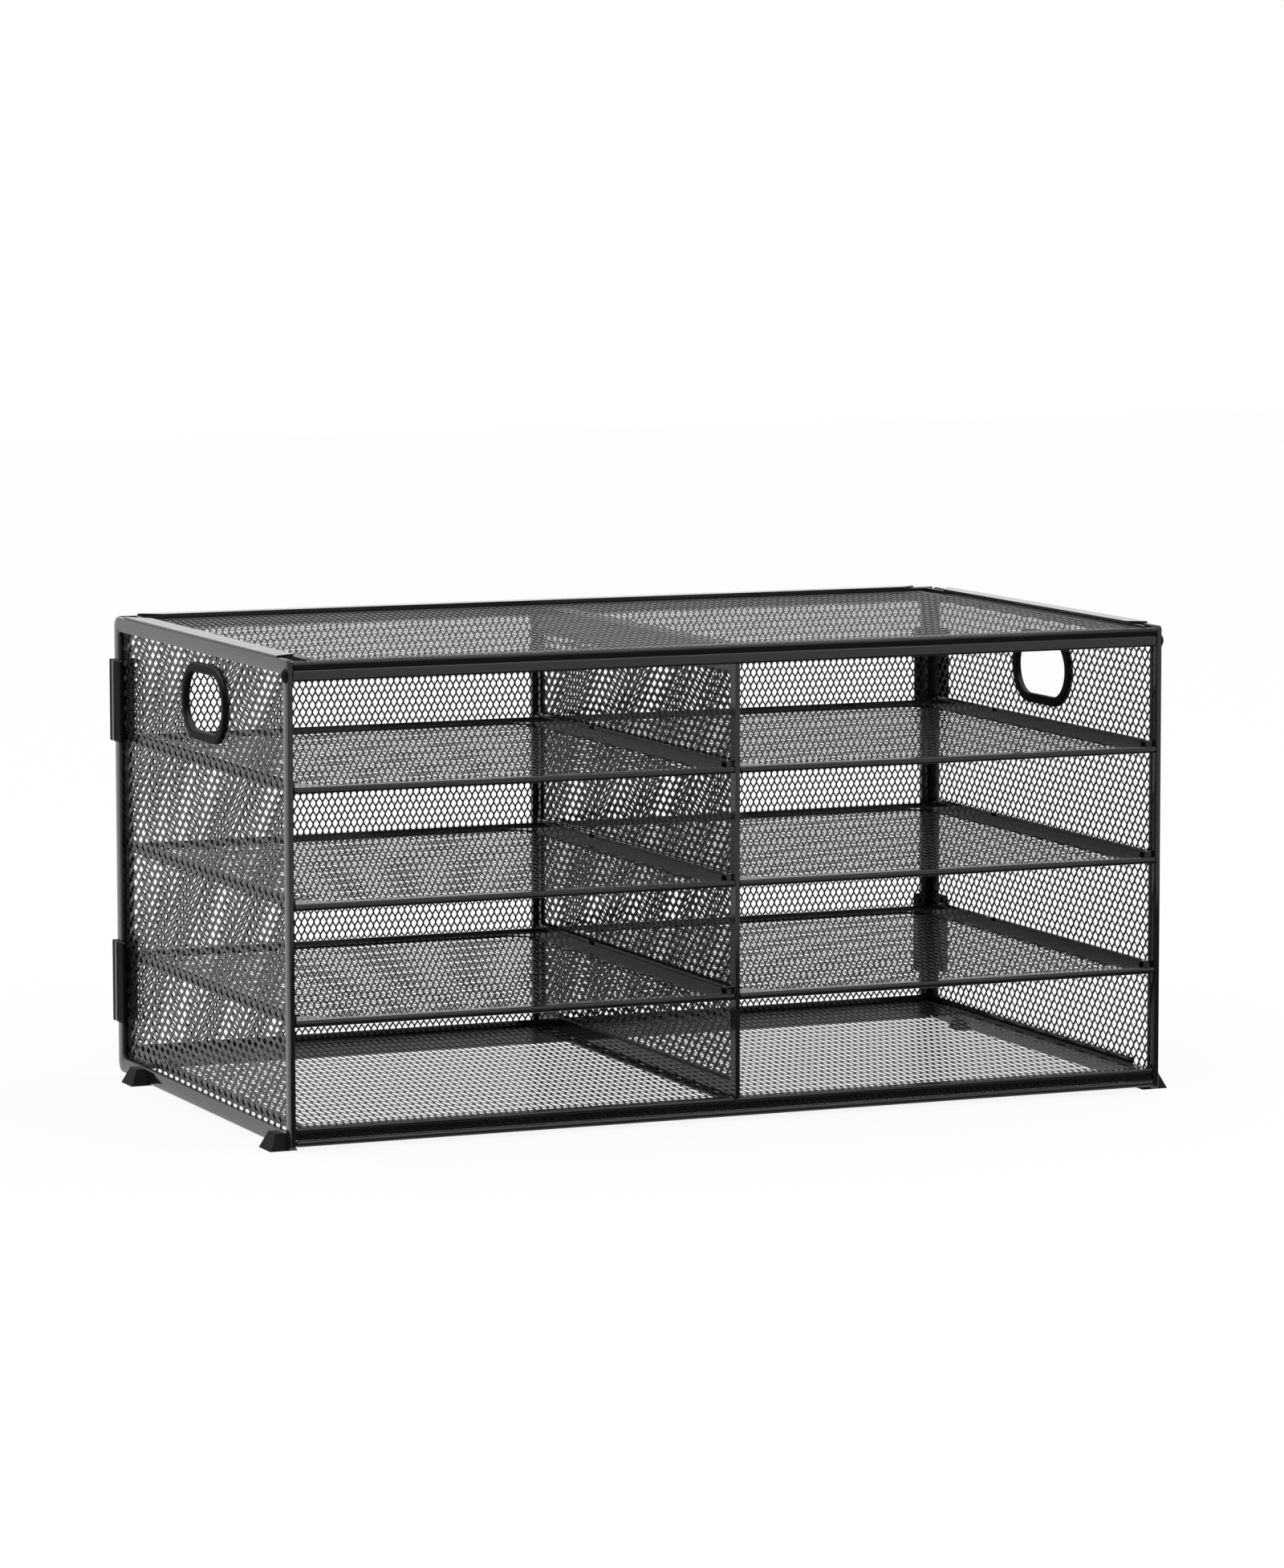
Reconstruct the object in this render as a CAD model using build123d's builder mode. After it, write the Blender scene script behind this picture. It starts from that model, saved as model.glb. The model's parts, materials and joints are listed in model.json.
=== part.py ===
from build123d import *
import os
from math import atan2, cos, hypot, sin

# Mesh file sorter: a steel frame with two bays side by side. Each bay has three mesh shelves that slide
# forward on runners, between one bottom tray and one top tray that span both bays.
# The origin is on the standing surface, under the middle of the outline.
# +X runs to the right, +Y to the rear and +Z up. All lengths are in millimetres.

os.makedirs("parts", exist_ok=True)

# Overall sizes
width = 508.0  # over the outer faces of the side frames
depth = 290.0  # front edge to rear edge of the side frames
frame_height = 257.0  # underside of the bottom bars to the top of the top bars
tiers = 4

# Flat bars of the side and rear frames
bar_face = 8.2
bar_thickness = 2.8
rear_corner_radius = 6.0
front_corner_radius = 2.0
opening_corner_radius = 2.5
edge_round = 0.5
rear_bar_face = 6.6  # uprights of the rear frame
rear_post_face = 6.4

# Divider
divider_thickness = 2.6
divider_post_face = 6.7
divider_bar_face = 8.5

# Folded sheet and mesh
sheet = 1.0
mesh_thickness = 0.8
mesh_lap = 2.2  # mesh over the bar or border that carries it
mesh_border = 4.0  # solid edge of a mesh panel
strand = 2.2
side_columns = 11
side_rows = 8
wide_columns = 16
wide_rows = 6
shelf_columns = 9
shelf_rows = 8

# Handle rings
handle_length = 72.0
handle_band = 5.4
handle_drop = 14.2  # ring below the top of the side frame
handle_clear = 7.3  # ring above the highest runner
handle_lead = 4.0  # ring ahead of the middle of the side frame
handle_sleeve = 1.6
handle_front = 1.8  # band outside the mesh
handle_back = 1.0  # band inside the mesh
handle_gap = 0.2  # sleeve to the edge of the mesh
handle_front_round = 1.4
handle_back_round = 0.6

# Top tray
tray_recess = 2.6  # underside of the tray floor below the top of the side frames
tray_flange = 11.0
tray_flange_rise = 0.2
tray_side_setback_front = 17.5
tray_side_setback_rear = 18.0
tray_front_cut = 4.5  # slope of a flange end, seen from above
tray_rear_cut = 17.0
tray_rear_setback = 14.0
tray_corner_cut = 11.0
tray_border = 10.0
tray_strip = 12.0  # over and under the divider
tray_mesh_lap = 4.0
front_bead = 3.2
front_bead_drop = 0.9  # top of the bead below the top of the side frames

# Front top rail and its screws
rail_drop = 5.5  # top of the rail below the top of the side frames
rail_height = 6.0
rail_depth = 6.0
rail_round = 1.2
screw_radius = 1.95
screw_hole_radius = 2.2
screw_thread_radius = 2.0
screw_length = 12.0
screw_hole_depth = 15.0
screw_head_radius = 4.2
screw_head_height = 2.3
screw_setback = 3.8  # screw axis behind the front edge

# Bottom tray and its front rail
floor_rise = 5.2  # level of the lowest tier above the underside of the bottom bars
bottom_floor_rise = 9.6
bottom_wall = 4.8
bottom_wall_setback = 24.0  # front end of a side wall behind the front edge
bottom_border = 8.0
bottom_rail_rise = 1.4
bottom_rail_height = 9.9
bottom_upper_bead = 2.4
bottom_lower_bead = 3.6
bottom_slot_share = 0.65  # length of a slot to the slot pitch
bottom_slot_height = 1.8
bottom_slots = 96

# Shelves
shelf_rear_gap = 4.4
lip_height = 3.2
lip_rise = 1.4  # top of the lip above the middle of the shelf sheet
lip_depth = 3.0
lip_round = 1.2
lip_gap = 0.5
shelf_flange = 3.5
shelf_flange_setback = 13.0
shelf_rear_flange = 2.5
shelf_border = 11.0
shelf_gusset = 12.0
shelf_mesh_lap = 3.0
top_level_drop = 7.0  # level of the highest tier below the top of the side frames

# Runners and travel of the shelves
runner_leg = 7.0
runner_end_gap = 0.5
slide_gap = 0.3  # shelf above the runner
side_gap = 0.5  # shelf beside the runner
stop_tab = 3.0
stop_tab_length = 6.0
stop_ear_length = 6.0
stop_gap = 0.3
tab_gap = 0.7
shelf_grip = 92.0  # length of a shelf that stays on its runners at full travel

# Rear corner clips
clip_height = 45.8
clip_wall = 2.0
clip_web = 3.0
clip_forward = 16.0
clip_inward = 12.0
clip_round = 1.6
upper_clip_drop = 46.9  # middle of the upper clip below the top of the side frames
lower_clip_rise = 51.5

# Feet
foot_drop = 1.2  # standing surface below the bottom bars
foot_length = 18.5
foot_width = 15.4
foot_shift = 3.0  # middle of a foot outside the middle of the bar
foot_taper = 24.0  # lean of the walls, in degrees
foot_climb = 7.7  # outer part above the underside of the bottom bar
foot_front_setback = 16.5  # middle of a foot from the end of the bottom bar
foot_rear_setback = 42.0
foot_round = 0.8

# Places worked out from the sizes
front = -(depth + clip_web) / 2
rear = front + depth
mid_y = front + depth / 2
base = foot_drop
top = base + frame_height
mid_z = base + frame_height / 2
inner_side = width / 2 - bar_thickness
side_mesh_face = inner_side - mesh_thickness
rear_frame_face = rear - bar_thickness
rear_mesh_face = rear_frame_face - mesh_thickness
tray_floor = top - tray_recess
rail_top = top - rail_drop
rail_base = rail_top - rail_height
rail_mid = rail_base + rail_height / 2
screw_y = front + screw_setback
bottom_floor = base + bottom_floor_rise
bottom_rail_base = base + bottom_rail_rise
bottom_rail_top = bottom_rail_base + bottom_rail_height
tier_pitch = (frame_height - floor_rise - top_level_drop) / tiers
levels = [base + floor_rise + tier_pitch * tier for tier in range(1, tiers)]
level_names = ["lower", "middle", "upper"]
sides = {"left": -1, "right": 1}
bay_outer = side_mesh_face
bay_inner = divider_thickness / 2
bay_middle = (bay_outer + bay_inner) / 2
shelf_width = bay_outer - bay_inner - 2 * (sheet + side_gap)
shelf_depth = rear_mesh_face - front - shelf_rear_gap
lip_width = inner_side - bay_inner - 2 * lip_gap
lip_middle = (inner_side + bay_inner) / 2
runner_front = lip_depth + runner_end_gap
runner_length = shelf_depth - runner_front
runner_base = -sheet / 2 - slide_gap - sheet
flange_top = shelf_flange - sheet / 2
runner_height = flange_top + tab_gap + sheet - runner_base
shelf_travel = shelf_depth - shelf_grip
stop_ear_start = runner_front + stop_tab_length + shelf_travel + stop_gap


def finish(piece, name):
    """Name a finished piece and write it."""
    piece.part.label = name
    export_step(piece.part, f"parts/{name}.step")


def side_plane(side, inset, thickness):
    """Plane of an upright sheet that lies inset from one outer side face and grows towards +X."""
    near = width / 2 - inset
    return Plane.YZ.offset(-near if side < 0 else near - thickness)


def gap_sites(pitch_x, pitch_y, columns, rows):
    """Middles of the staggered gaps of a mesh, about the middle of the panel."""
    left = -pitch_x * columns / 2
    low = -pitch_y * rows / 2
    sites = []
    for column in range(columns):
        for row in range(rows):
            sites.append((left + pitch_x * (column + 1 / 2), low + pitch_y * (row + 1 / 2)))
    for column in range(1, columns):
        for row in range(1, rows):
            sites.append((left + pitch_x * column, low + pitch_y * row))
    return sites


def mesh_sheet(length, height, columns, rows, window=None):
    """Sheet of expanded metal with diamond gaps, and a slot-shaped window if one is given."""
    pitch_x = (length - 2 * mesh_border) / columns
    pitch_y = (height - 2 * mesh_border) / rows
    reach = pitch_x * pitch_y / hypot(pitch_x, pitch_y) / 2
    open_share = 1 - strand / 2 / reach
    half_x = pitch_x / 2 * open_share
    half_y = pitch_y / 2 * open_share
    sites = gap_sites(pitch_x, pitch_y, columns, rows)
    if window:
        window_x, window_y, window_length, window_height = window
        straight = (window_length - window_height) / 2
        margin = window_height / 2 + max(half_x, half_y)
        sites = [
            (x, y)
            for x, y in sites
            if hypot(max(abs(x - window_x) - straight, 0), y - window_y) > margin
        ]
    right = length / 2
    high = height / 2
    corners = [(-right, -high), (right, -high), (right, high), (-right, high)]
    edge = Wire.make_polygon(corners, close=True)
    gaps = [
        Wire.make_polygon([(x + half_x, y), (x, y + half_y), (x - half_x, y), (x, y - half_y)], close=True)
        for x, y in sites
    ]
    with BuildSketch() as net:
        add(Face(edge, gaps))
        if window:
            with Locations((window_x, window_y)):
                SlotOverall(window_length, window_height, mode=Mode.SUBTRACT)
    return net.sketch


# Side frames: rings of flat bar with a hole for the rail screw
for side_name, side in sides.items():
    with BuildPart() as side_frame:
        with BuildSketch(side_plane(side, 0, bar_thickness)) as ring:
            with Locations((mid_y, mid_z)):
                Rectangle(depth, frame_height)
            fillet(ring.vertices().group_by(Axis.X)[-1], rear_corner_radius)
            fillet(ring.vertices().group_by(Axis.X)[0], front_corner_radius)
            with Locations((mid_y, mid_z)):
                RectangleRounded(
                    depth - 2 * bar_face,
                    frame_height - 2 * bar_face,
                    opening_corner_radius,
                    mode=Mode.SUBTRACT,
                )
            with Locations((screw_y, rail_mid)):
                Circle(screw_hole_radius, mode=Mode.SUBTRACT)
        extrude(amount=bar_thickness)
        outer_face = side_frame.faces().sort_by(Axis.X)[0 if side < 0 else -1]
        fillet(outer_face.outer_wire().edges(), edge_round)
    finish(side_frame, f"{side_name}_side_frame")

# Side meshes: on the inner faces of the side frames, with a window for the handle
side_mesh_length = depth - 2 * bar_face + 2 * mesh_lap
side_mesh_height = frame_height - 2 * bar_face + 2 * mesh_lap
handle_base = levels[-1] + flange_top + tab_gap + sheet + handle_clear
handle_height = top - handle_drop - handle_base
handle_y = mid_y - handle_lead
handle_z = handle_base + handle_height / 2
sleeve_length = handle_length - 2 * handle_band + 2 * handle_sleeve
sleeve_height = handle_height - 2 * handle_band + 2 * handle_sleeve
handle_window = (
    handle_y - mid_y,
    handle_z - mid_z,
    sleeve_length + 2 * handle_gap,
    sleeve_height + 2 * handle_gap,
)
side_net = mesh_sheet(side_mesh_length, side_mesh_height, side_columns, side_rows, handle_window)
for side_name, side in sides.items():
    with BuildPart() as side_mesh:
        with BuildSketch(side_plane(side, bar_thickness, mesh_thickness)):
            with Locations((mid_y, mid_z)):
                add(side_net)
        extrude(amount=mesh_thickness)
    finish(side_mesh, f"{side_name}_side_mesh")

# Handle rings: an outer band, a sleeve through the mesh and an inner band
handle_layers = [
    (bar_thickness - handle_front, handle_front, handle_length, handle_height),
    (bar_thickness, mesh_thickness, sleeve_length, sleeve_height),
    (bar_thickness + mesh_thickness, handle_back, handle_length, handle_height),
]
for side_name, side in sides.items():
    with BuildPart() as handle_ring:
        for inset, thickness, length, height in handle_layers:
            with BuildSketch(side_plane(side, inset, thickness)):
                with Locations((handle_y, handle_z)):
                    SlotOverall(length, height)
                    SlotOverall(
                        handle_length - 2 * handle_band, handle_height - 2 * handle_band, mode=Mode.SUBTRACT
                    )
            extrude(amount=thickness)
        end_faces = handle_ring.faces().filter_by(Axis.X).sort_by(Axis.X, reverse=side > 0)
        fillet(end_faces[0].edges(), handle_front_round)
        fillet(end_faces[-1].edges(), handle_back_round)
    finish(handle_ring, f"{side_name}_handle_ring")

# Rear frame: a flat-bar ring with a centre upright, between the side frames
with BuildPart() as rear_frame:
    with BuildSketch(Plane.XZ.offset(-rear)):
        with Locations((0, mid_z)):
            Rectangle(2 * inner_side, frame_height)
            RectangleRounded(
                2 * (inner_side - rear_bar_face),
                frame_height - 2 * bar_face,
                opening_corner_radius,
                mode=Mode.SUBTRACT,
            )
            Rectangle(rear_post_face, frame_height - bar_face)
    extrude(amount=bar_thickness)
finish(rear_frame, "rear_frame")

# Rear mesh: on the front face of the rear frame
rear_net = mesh_sheet(
    2 * (inner_side - rear_bar_face + mesh_lap),
    frame_height - 2 * bar_face + 2 * mesh_lap,
    wide_columns,
    wide_rows,
)
with BuildPart() as rear_mesh:
    with BuildSketch(Plane.XZ.offset(-rear_frame_face)):
        with Locations((0, mid_z)):
            add(rear_net)
    extrude(amount=mesh_thickness)
finish(rear_mesh, "rear_mesh")

# Divider frame: a ring that stands on the mesh of the bottom tray, notched round the front rails
divider_base = bottom_floor + sheet + mesh_thickness
opening_front = front + divider_post_face
opening_rear = rear_mesh_face - divider_post_face
opening_base = divider_base + divider_bar_face
opening_top = rail_base - divider_bar_face / 2
divider_points = [
    (front, bottom_rail_top),
    (front, rail_base),
    (front + rail_depth, rail_base),
    (front + rail_depth, tray_floor),
    (rear_mesh_face, tray_floor),
    (rear_mesh_face, divider_base),
    (front + bottom_lower_bead, divider_base),
    (front + bottom_lower_bead, bottom_rail_top),
]
with BuildPart() as divider_frame:
    with BuildSketch(Plane.YZ.offset(-divider_thickness / 2)):
        with BuildLine():
            Polyline(*divider_points, close=True)
        make_face()
        with Locations(((opening_front + opening_rear) / 2, (opening_base + opening_top) / 2)):
            Rectangle(opening_rear - opening_front, opening_top - opening_base, mode=Mode.SUBTRACT)
    extrude(amount=divider_thickness)
finish(divider_frame, "divider_frame")

# Divider mesh: edge to edge in the opening of its frame
divider_net = mesh_sheet(opening_rear - opening_front, opening_top - opening_base, side_columns, side_rows)
with BuildPart() as divider_mesh:
    with BuildSketch(Plane.YZ.offset(-mesh_thickness / 2)):
        with Locations(((opening_front + opening_rear) / 2, (opening_base + opening_top) / 2)):
            add(divider_net)
    extrude(amount=mesh_thickness)
finish(divider_mesh, "divider_mesh")

# Top tray rim: floor border, walls on three sides, flanges over the frames and a beaded front edge
tray_half = width / 2 - tray_flange + sheet
tray_front = front + front_bead / 2 - sheet / 2
tray_rear = rear - tray_flange + sheet
tray_length = tray_rear - tray_front
tray_mid = (tray_front + tray_rear) / 2
tray_opening_x = tray_half - sheet - tray_border - tray_strip / 2
tray_opening_y = tray_length - sheet - 2 * tray_border
tray_opening_mid = tray_front + tray_border + tray_opening_y / 2
flange_tilt = atan2(tray_flange_rise, tray_flange)
flange_reach = hypot(tray_flange, tray_flange_rise)
flange_front = front + tray_side_setback_front
flange_rear = rear - tray_side_setback_rear
bead_level = top - front_bead_drop - front_bead / 2


def flange_outline(length, start_cut, end_cut):
    """Outline of a tray flange, from its outer edge to the tray wall, with sloped ends."""
    with BuildSketch() as outline:
        with BuildLine():
            Polyline(
                (-length / 2, 0),
                (length / 2, 0),
                (length / 2 - end_cut, flange_reach),
                (-length / 2 + start_cut, flange_reach),
                close=True,
            )
        make_face()
    return outline.sketch


left_flange = flange_outline(flange_rear - flange_front, tray_rear_cut, tray_front_cut)
right_flange = flange_outline(flange_rear - flange_front, tray_front_cut, tray_rear_cut)
rear_flange = flange_outline(width - 2 * tray_rear_setback, tray_corner_cut, tray_corner_cut)
flange_mid = (flange_front + flange_rear) / 2
left_flange_plane = Plane(
    (-width / 2, flange_mid, top), x_dir=(0, -1, 0), z_dir=(-sin(flange_tilt), 0, cos(flange_tilt))
)
right_flange_plane = Plane(
    (width / 2, flange_mid, top), x_dir=(0, 1, 0), z_dir=(sin(flange_tilt), 0, cos(flange_tilt))
)
rear_flange_plane = Plane((0, rear, top), x_dir=(-1, 0, 0), z_dir=(0, sin(flange_tilt), cos(flange_tilt)))
with BuildPart() as top_tray_rim:
    with BuildSketch(Plane.XY.offset(tray_floor)):
        with Locations((0, tray_mid)):
            Rectangle(2 * tray_half, tray_length)
        with Locations(
            (-(tray_opening_x + tray_strip) / 2, tray_opening_mid),
            ((tray_opening_x + tray_strip) / 2, tray_opening_mid),
        ):
            Rectangle(tray_opening_x, tray_opening_y, mode=Mode.SUBTRACT)
    extrude(amount=sheet)
    with BuildSketch(Plane.XY.offset(tray_floor)):
        with Locations((0, tray_mid)):
            Rectangle(2 * tray_half, tray_length)
        with Locations((0, tray_mid - sheet)):
            Rectangle(2 * (tray_half - sheet), tray_length, mode=Mode.SUBTRACT)
    extrude(amount=tray_recess + tray_flange_rise)
    for flange_plane, outline in (
        (left_flange_plane, left_flange),
        (right_flange_plane, right_flange),
        (rear_flange_plane, rear_flange),
    ):
        with BuildSketch(flange_plane):
            add(outline)
        extrude(amount=sheet)
    with BuildSketch(Plane.YZ.offset(-inner_side)):
        with Locations((front + front_bead / 2, bead_level)):
            Circle(front_bead / 2)
    extrude(amount=2 * inner_side)
    with Locations((0, tray_front, rail_top)):
        Box(2 * tray_half, sheet, bead_level - rail_top, align=(Align.CENTER, Align.MIN, Align.MIN))
finish(top_tray_rim, "top_tray_rim")

# Top tray mesh: lies on the floor border
top_net = mesh_sheet(
    2 * tray_opening_x + tray_strip + 2 * tray_mesh_lap,
    tray_opening_y + 2 * tray_mesh_lap,
    wide_columns,
    wide_rows,
)
with BuildPart() as top_tray_mesh:
    with BuildSketch(Plane.XY.offset(tray_floor + sheet)):
        with Locations((0, tray_opening_mid)):
            add(top_net)
    extrude(amount=mesh_thickness)
finish(top_tray_mesh, "top_tray_mesh")

# Front top rail: a bar between the side frames, under the tray, with a threaded hole in each end
with BuildPart() as front_top_rail:
    with BuildSketch(Plane.YZ.offset(-inner_side)):
        with Locations((front + rail_depth / 2, rail_mid)):
            Rectangle(rail_depth, rail_height)
    extrude(amount=2 * inner_side)
    long_edges = front_top_rail.edges().filter_by(Axis.X)
    fillet(long_edges.sort_by(Axis.Z)[0:2], rail_round)
    for end_plane in (Plane.YZ.offset(-inner_side), Plane.YZ.offset(inner_side - screw_hole_depth)):
        with BuildSketch(end_plane):
            with Locations((screw_y, rail_mid)):
                Circle(screw_thread_radius)
        extrude(amount=screw_hole_depth, mode=Mode.SUBTRACT)
finish(front_top_rail, "front_top_rail")

# Rail screws: a domed head on the outer face of each side frame and a shank into the rail
with BuildPart() as rail_screws:
    for side in sides.values():
        screw_axis = Axis((0, screw_y, rail_mid), (1, 0, 0))
        seat = side * width / 2
        tip = side * (width / 2 - screw_length)
        crown = side * (width / 2 + screw_head_height)
        with BuildSketch(Plane.XZ.offset(-screw_y)):
            with BuildLine():
                Polyline((crown, rail_mid), (tip, rail_mid), (tip, rail_mid + screw_radius))
                Line((tip, rail_mid + screw_radius), (seat, rail_mid + screw_radius))
                Line((seat, rail_mid + screw_radius), (seat, rail_mid + screw_head_radius))
                TangentArc((crown, rail_mid), (seat, rail_mid + screw_head_radius), tangent=(0, 1))
            make_face()
        revolve(axis=screw_axis)
finish(rail_screws, "rail_screws")

# Bottom tray rim: floor border with a strip under the divider, and low walls on three sides
bottom_front = front + bottom_lower_bead
bottom_length = rear_mesh_face - bottom_front
bottom_mid = (rear_mesh_face + bottom_front) / 2
bottom_opening_x = side_mesh_face - bottom_border - tray_strip / 2
bottom_opening_y = bottom_length - 2 * bottom_border
bottom_wall_length = rear_mesh_face - front - bottom_wall_setback
with BuildPart() as bottom_tray_rim:
    with BuildSketch(Plane.XY.offset(bottom_floor)):
        with Locations((0, bottom_mid)):
            Rectangle(2 * side_mesh_face, bottom_length)
        with Locations(
            (-(bottom_opening_x + tray_strip) / 2, bottom_mid),
            ((bottom_opening_x + tray_strip) / 2, bottom_mid),
        ):
            Rectangle(bottom_opening_x, bottom_opening_y, mode=Mode.SUBTRACT)
    extrude(amount=sheet)
    for side in sides.values():
        with Locations((side * (side_mesh_face - sheet / 2), rear_mesh_face, bottom_floor)):
            Box(sheet, bottom_wall_length, bottom_wall, align=(Align.CENTER, Align.MAX, Align.MIN))
    for side in sides.values():
        rear_wall_length = side_mesh_face - divider_thickness / 2
        with Locations((side * (side_mesh_face + divider_thickness / 2) / 2, rear_mesh_face, bottom_floor)):
            Box(rear_wall_length, sheet, bottom_wall, align=(Align.CENTER, Align.MAX, Align.MIN))
finish(bottom_tray_rim, "bottom_tray_rim")

# Bottom tray mesh: on the floor border
bottom_net = mesh_sheet(
    2 * bottom_opening_x + tray_strip + 2 * tray_mesh_lap,
    bottom_opening_y + 2 * tray_mesh_lap,
    wide_columns,
    wide_rows,
)
with BuildPart() as bottom_tray_mesh:
    with BuildSketch(Plane.XY.offset(bottom_floor + sheet)):
        with Locations((0, bottom_mid)):
            add(bottom_net)
    extrude(amount=mesh_thickness)
finish(bottom_tray_mesh, "bottom_tray_mesh")

# Front bottom rail: an upper and a lower bead joined by a slotted strip, along the front of the floor
slot_pitch = 2 * inner_side / bottom_slots
strip_base = bottom_rail_base + bottom_lower_bead / 2
strip_top = bottom_rail_top - bottom_upper_bead / 2
slot_level = (bottom_rail_base + bottom_lower_bead + bottom_rail_top - bottom_upper_bead) / 2
with BuildPart() as front_bottom_rail:
    with BuildSketch(Plane.YZ.offset(-inner_side)):
        with Locations((front + bottom_lower_bead / 2, strip_base)):
            Circle(bottom_lower_bead / 2)
        with Locations((front + bottom_lower_bead - bottom_upper_bead / 2, strip_top)):
            Circle(bottom_upper_bead / 2)
        with Locations((front + bottom_lower_bead - sheet / 2, (strip_base + strip_top) / 2)):
            Rectangle(sheet, strip_top - strip_base)
    extrude(amount=2 * inner_side)
    with BuildSketch(Plane.XZ.offset(-front - bottom_lower_bead)):
        with Locations((0, slot_level)):
            with GridLocations(slot_pitch, 0, bottom_slots, 1):
                SlotOverall(slot_pitch * bottom_slot_share, bottom_slot_height)
    extrude(amount=sheet, mode=Mode.SUBTRACT)
finish(front_bottom_rail, "front_bottom_rail")

# Runners: an angle on each side of each bay, with a stop tab over its front end
for side_name, side in sides.items():
    for level_name, level in zip(level_names, levels):
        for wall_name, wall_x, toward in (
            ("outer", side * bay_outer, -side),
            ("inner", side * bay_inner, side),
        ):
            across = Align.MIN if toward > 0 else Align.MAX
            with BuildPart(Plane((wall_x, front + runner_front, level + runner_base))) as runner:
                Box(sheet, runner_length, runner_height, align=(across, Align.MIN, Align.MIN))
                Box(runner_leg, runner_length, sheet, align=(across, Align.MIN, Align.MIN))
                with Locations((0, 0, runner_height)):
                    Box(stop_tab, stop_tab_length, sheet, align=(across, Align.MIN, Align.MAX))
            finish(runner, f"{side_name}_{level_name}_{wall_name}_runner")

# Shelf rims: a front lip, a floor border with gussets, side flanges with stop ears and a low rear flange
shelf_opening_x = shelf_width - 2 * shelf_border
shelf_opening_y = shelf_depth - lip_depth - 2 * shelf_border
shelf_opening_mid = lip_depth + shelf_border + shelf_opening_y / 2
flange_length = shelf_depth - shelf_flange_setback
ear_height = flange_top + tab_gap + sheet
with BuildSketch() as shelf_opening:
    Rectangle(shelf_opening_x, shelf_opening_y)
    chamfer(shelf_opening.vertices(), shelf_gusset)
for side_name, side in sides.items():
    for level_name, level in zip(level_names, levels):
        shelf_plane = Plane((side * bay_middle, front, level))
        with BuildPart(shelf_plane) as shelf_rim:
            with Locations((side * (lip_middle - bay_middle), 0, lip_rise)):
                Box(lip_width, lip_depth, lip_height, align=(Align.CENTER, Align.MIN, Align.MAX))
            lip_edges = shelf_rim.edges().filter_by(Axis.X)
            fillet(lip_edges.group_by(Axis.Y)[0], lip_round)
            with BuildSketch(shelf_plane.offset(-sheet / 2)):
                with Locations((0, (lip_depth / 2 + shelf_depth) / 2)):
                    Rectangle(shelf_width, shelf_depth - lip_depth / 2)
                with Locations((0, shelf_opening_mid)):
                    add(shelf_opening.sketch, mode=Mode.SUBTRACT)
            extrude(amount=sheet)
            for edge in sides.values():
                flange_x = edge * (shelf_width - sheet) / 2
                with Locations((flange_x, shelf_flange_setback, -sheet / 2)):
                    Box(sheet, flange_length, shelf_flange, align=(Align.CENTER, Align.MIN, Align.MIN))
                with Locations((flange_x, stop_ear_start, 0)):
                    Box(sheet, stop_ear_length, ear_height, align=(Align.CENTER, Align.MIN, Align.MIN))
            with Locations((0, shelf_depth, -sheet / 2)):
                Box(shelf_width, sheet, shelf_rear_flange, align=(Align.CENTER, Align.MAX, Align.MIN))
        finish(shelf_rim, f"{side_name}_{level_name}_shelf_rim")

# Shelf meshes: under the floor borders
shelf_net = mesh_sheet(
    shelf_opening_x + 2 * shelf_mesh_lap, shelf_opening_y + 2 * shelf_mesh_lap, shelf_columns, shelf_rows
)
for side_name, side in sides.items():
    for level_name, level in zip(level_names, levels):
        shelf_plane = Plane((side * bay_middle, front, level))
        with BuildPart() as shelf_mesh:
            with BuildSketch(shelf_plane.offset(-sheet / 2 - mesh_thickness)):
                with Locations((0, shelf_opening_mid)):
                    add(shelf_net)
            extrude(amount=mesh_thickness)
        finish(shelf_mesh, f"{side_name}_{level_name}_shelf_mesh")

# Rear corner clips: angles round the outside of the rear corners
clip_mids = {"upper": top - upper_clip_drop, "lower": base + lower_clip_rise}
for side_name, side in sides.items():
    for clip_name, clip_z in clip_mids.items():
        outer_x = side * (width / 2 + clip_wall)
        face_x = side * width / 2
        clip_points = [
            (outer_x, rear - clip_forward),
            (outer_x, rear + clip_web),
            (side * (width / 2 - clip_inward), rear + clip_web),
            (side * (width / 2 - clip_inward), rear),
            (face_x, rear),
            (face_x, rear - clip_forward),
        ]
        with BuildPart() as clip:
            with BuildSketch(Plane.XY.offset(clip_z - clip_height / 2)):
                with BuildLine():
                    Polyline(*clip_points, close=True)
                make_face()
            extrude(amount=clip_height)
            upright_edges = clip.edges().filter_by(Axis.Z)
            fillet(upright_edges.group_by(Axis.Y)[-1].sort_by(Axis.X)[0 if side < 0 else -1], clip_round)
        finish(clip, f"{side_name}_{clip_name}_rear_clip")

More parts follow.
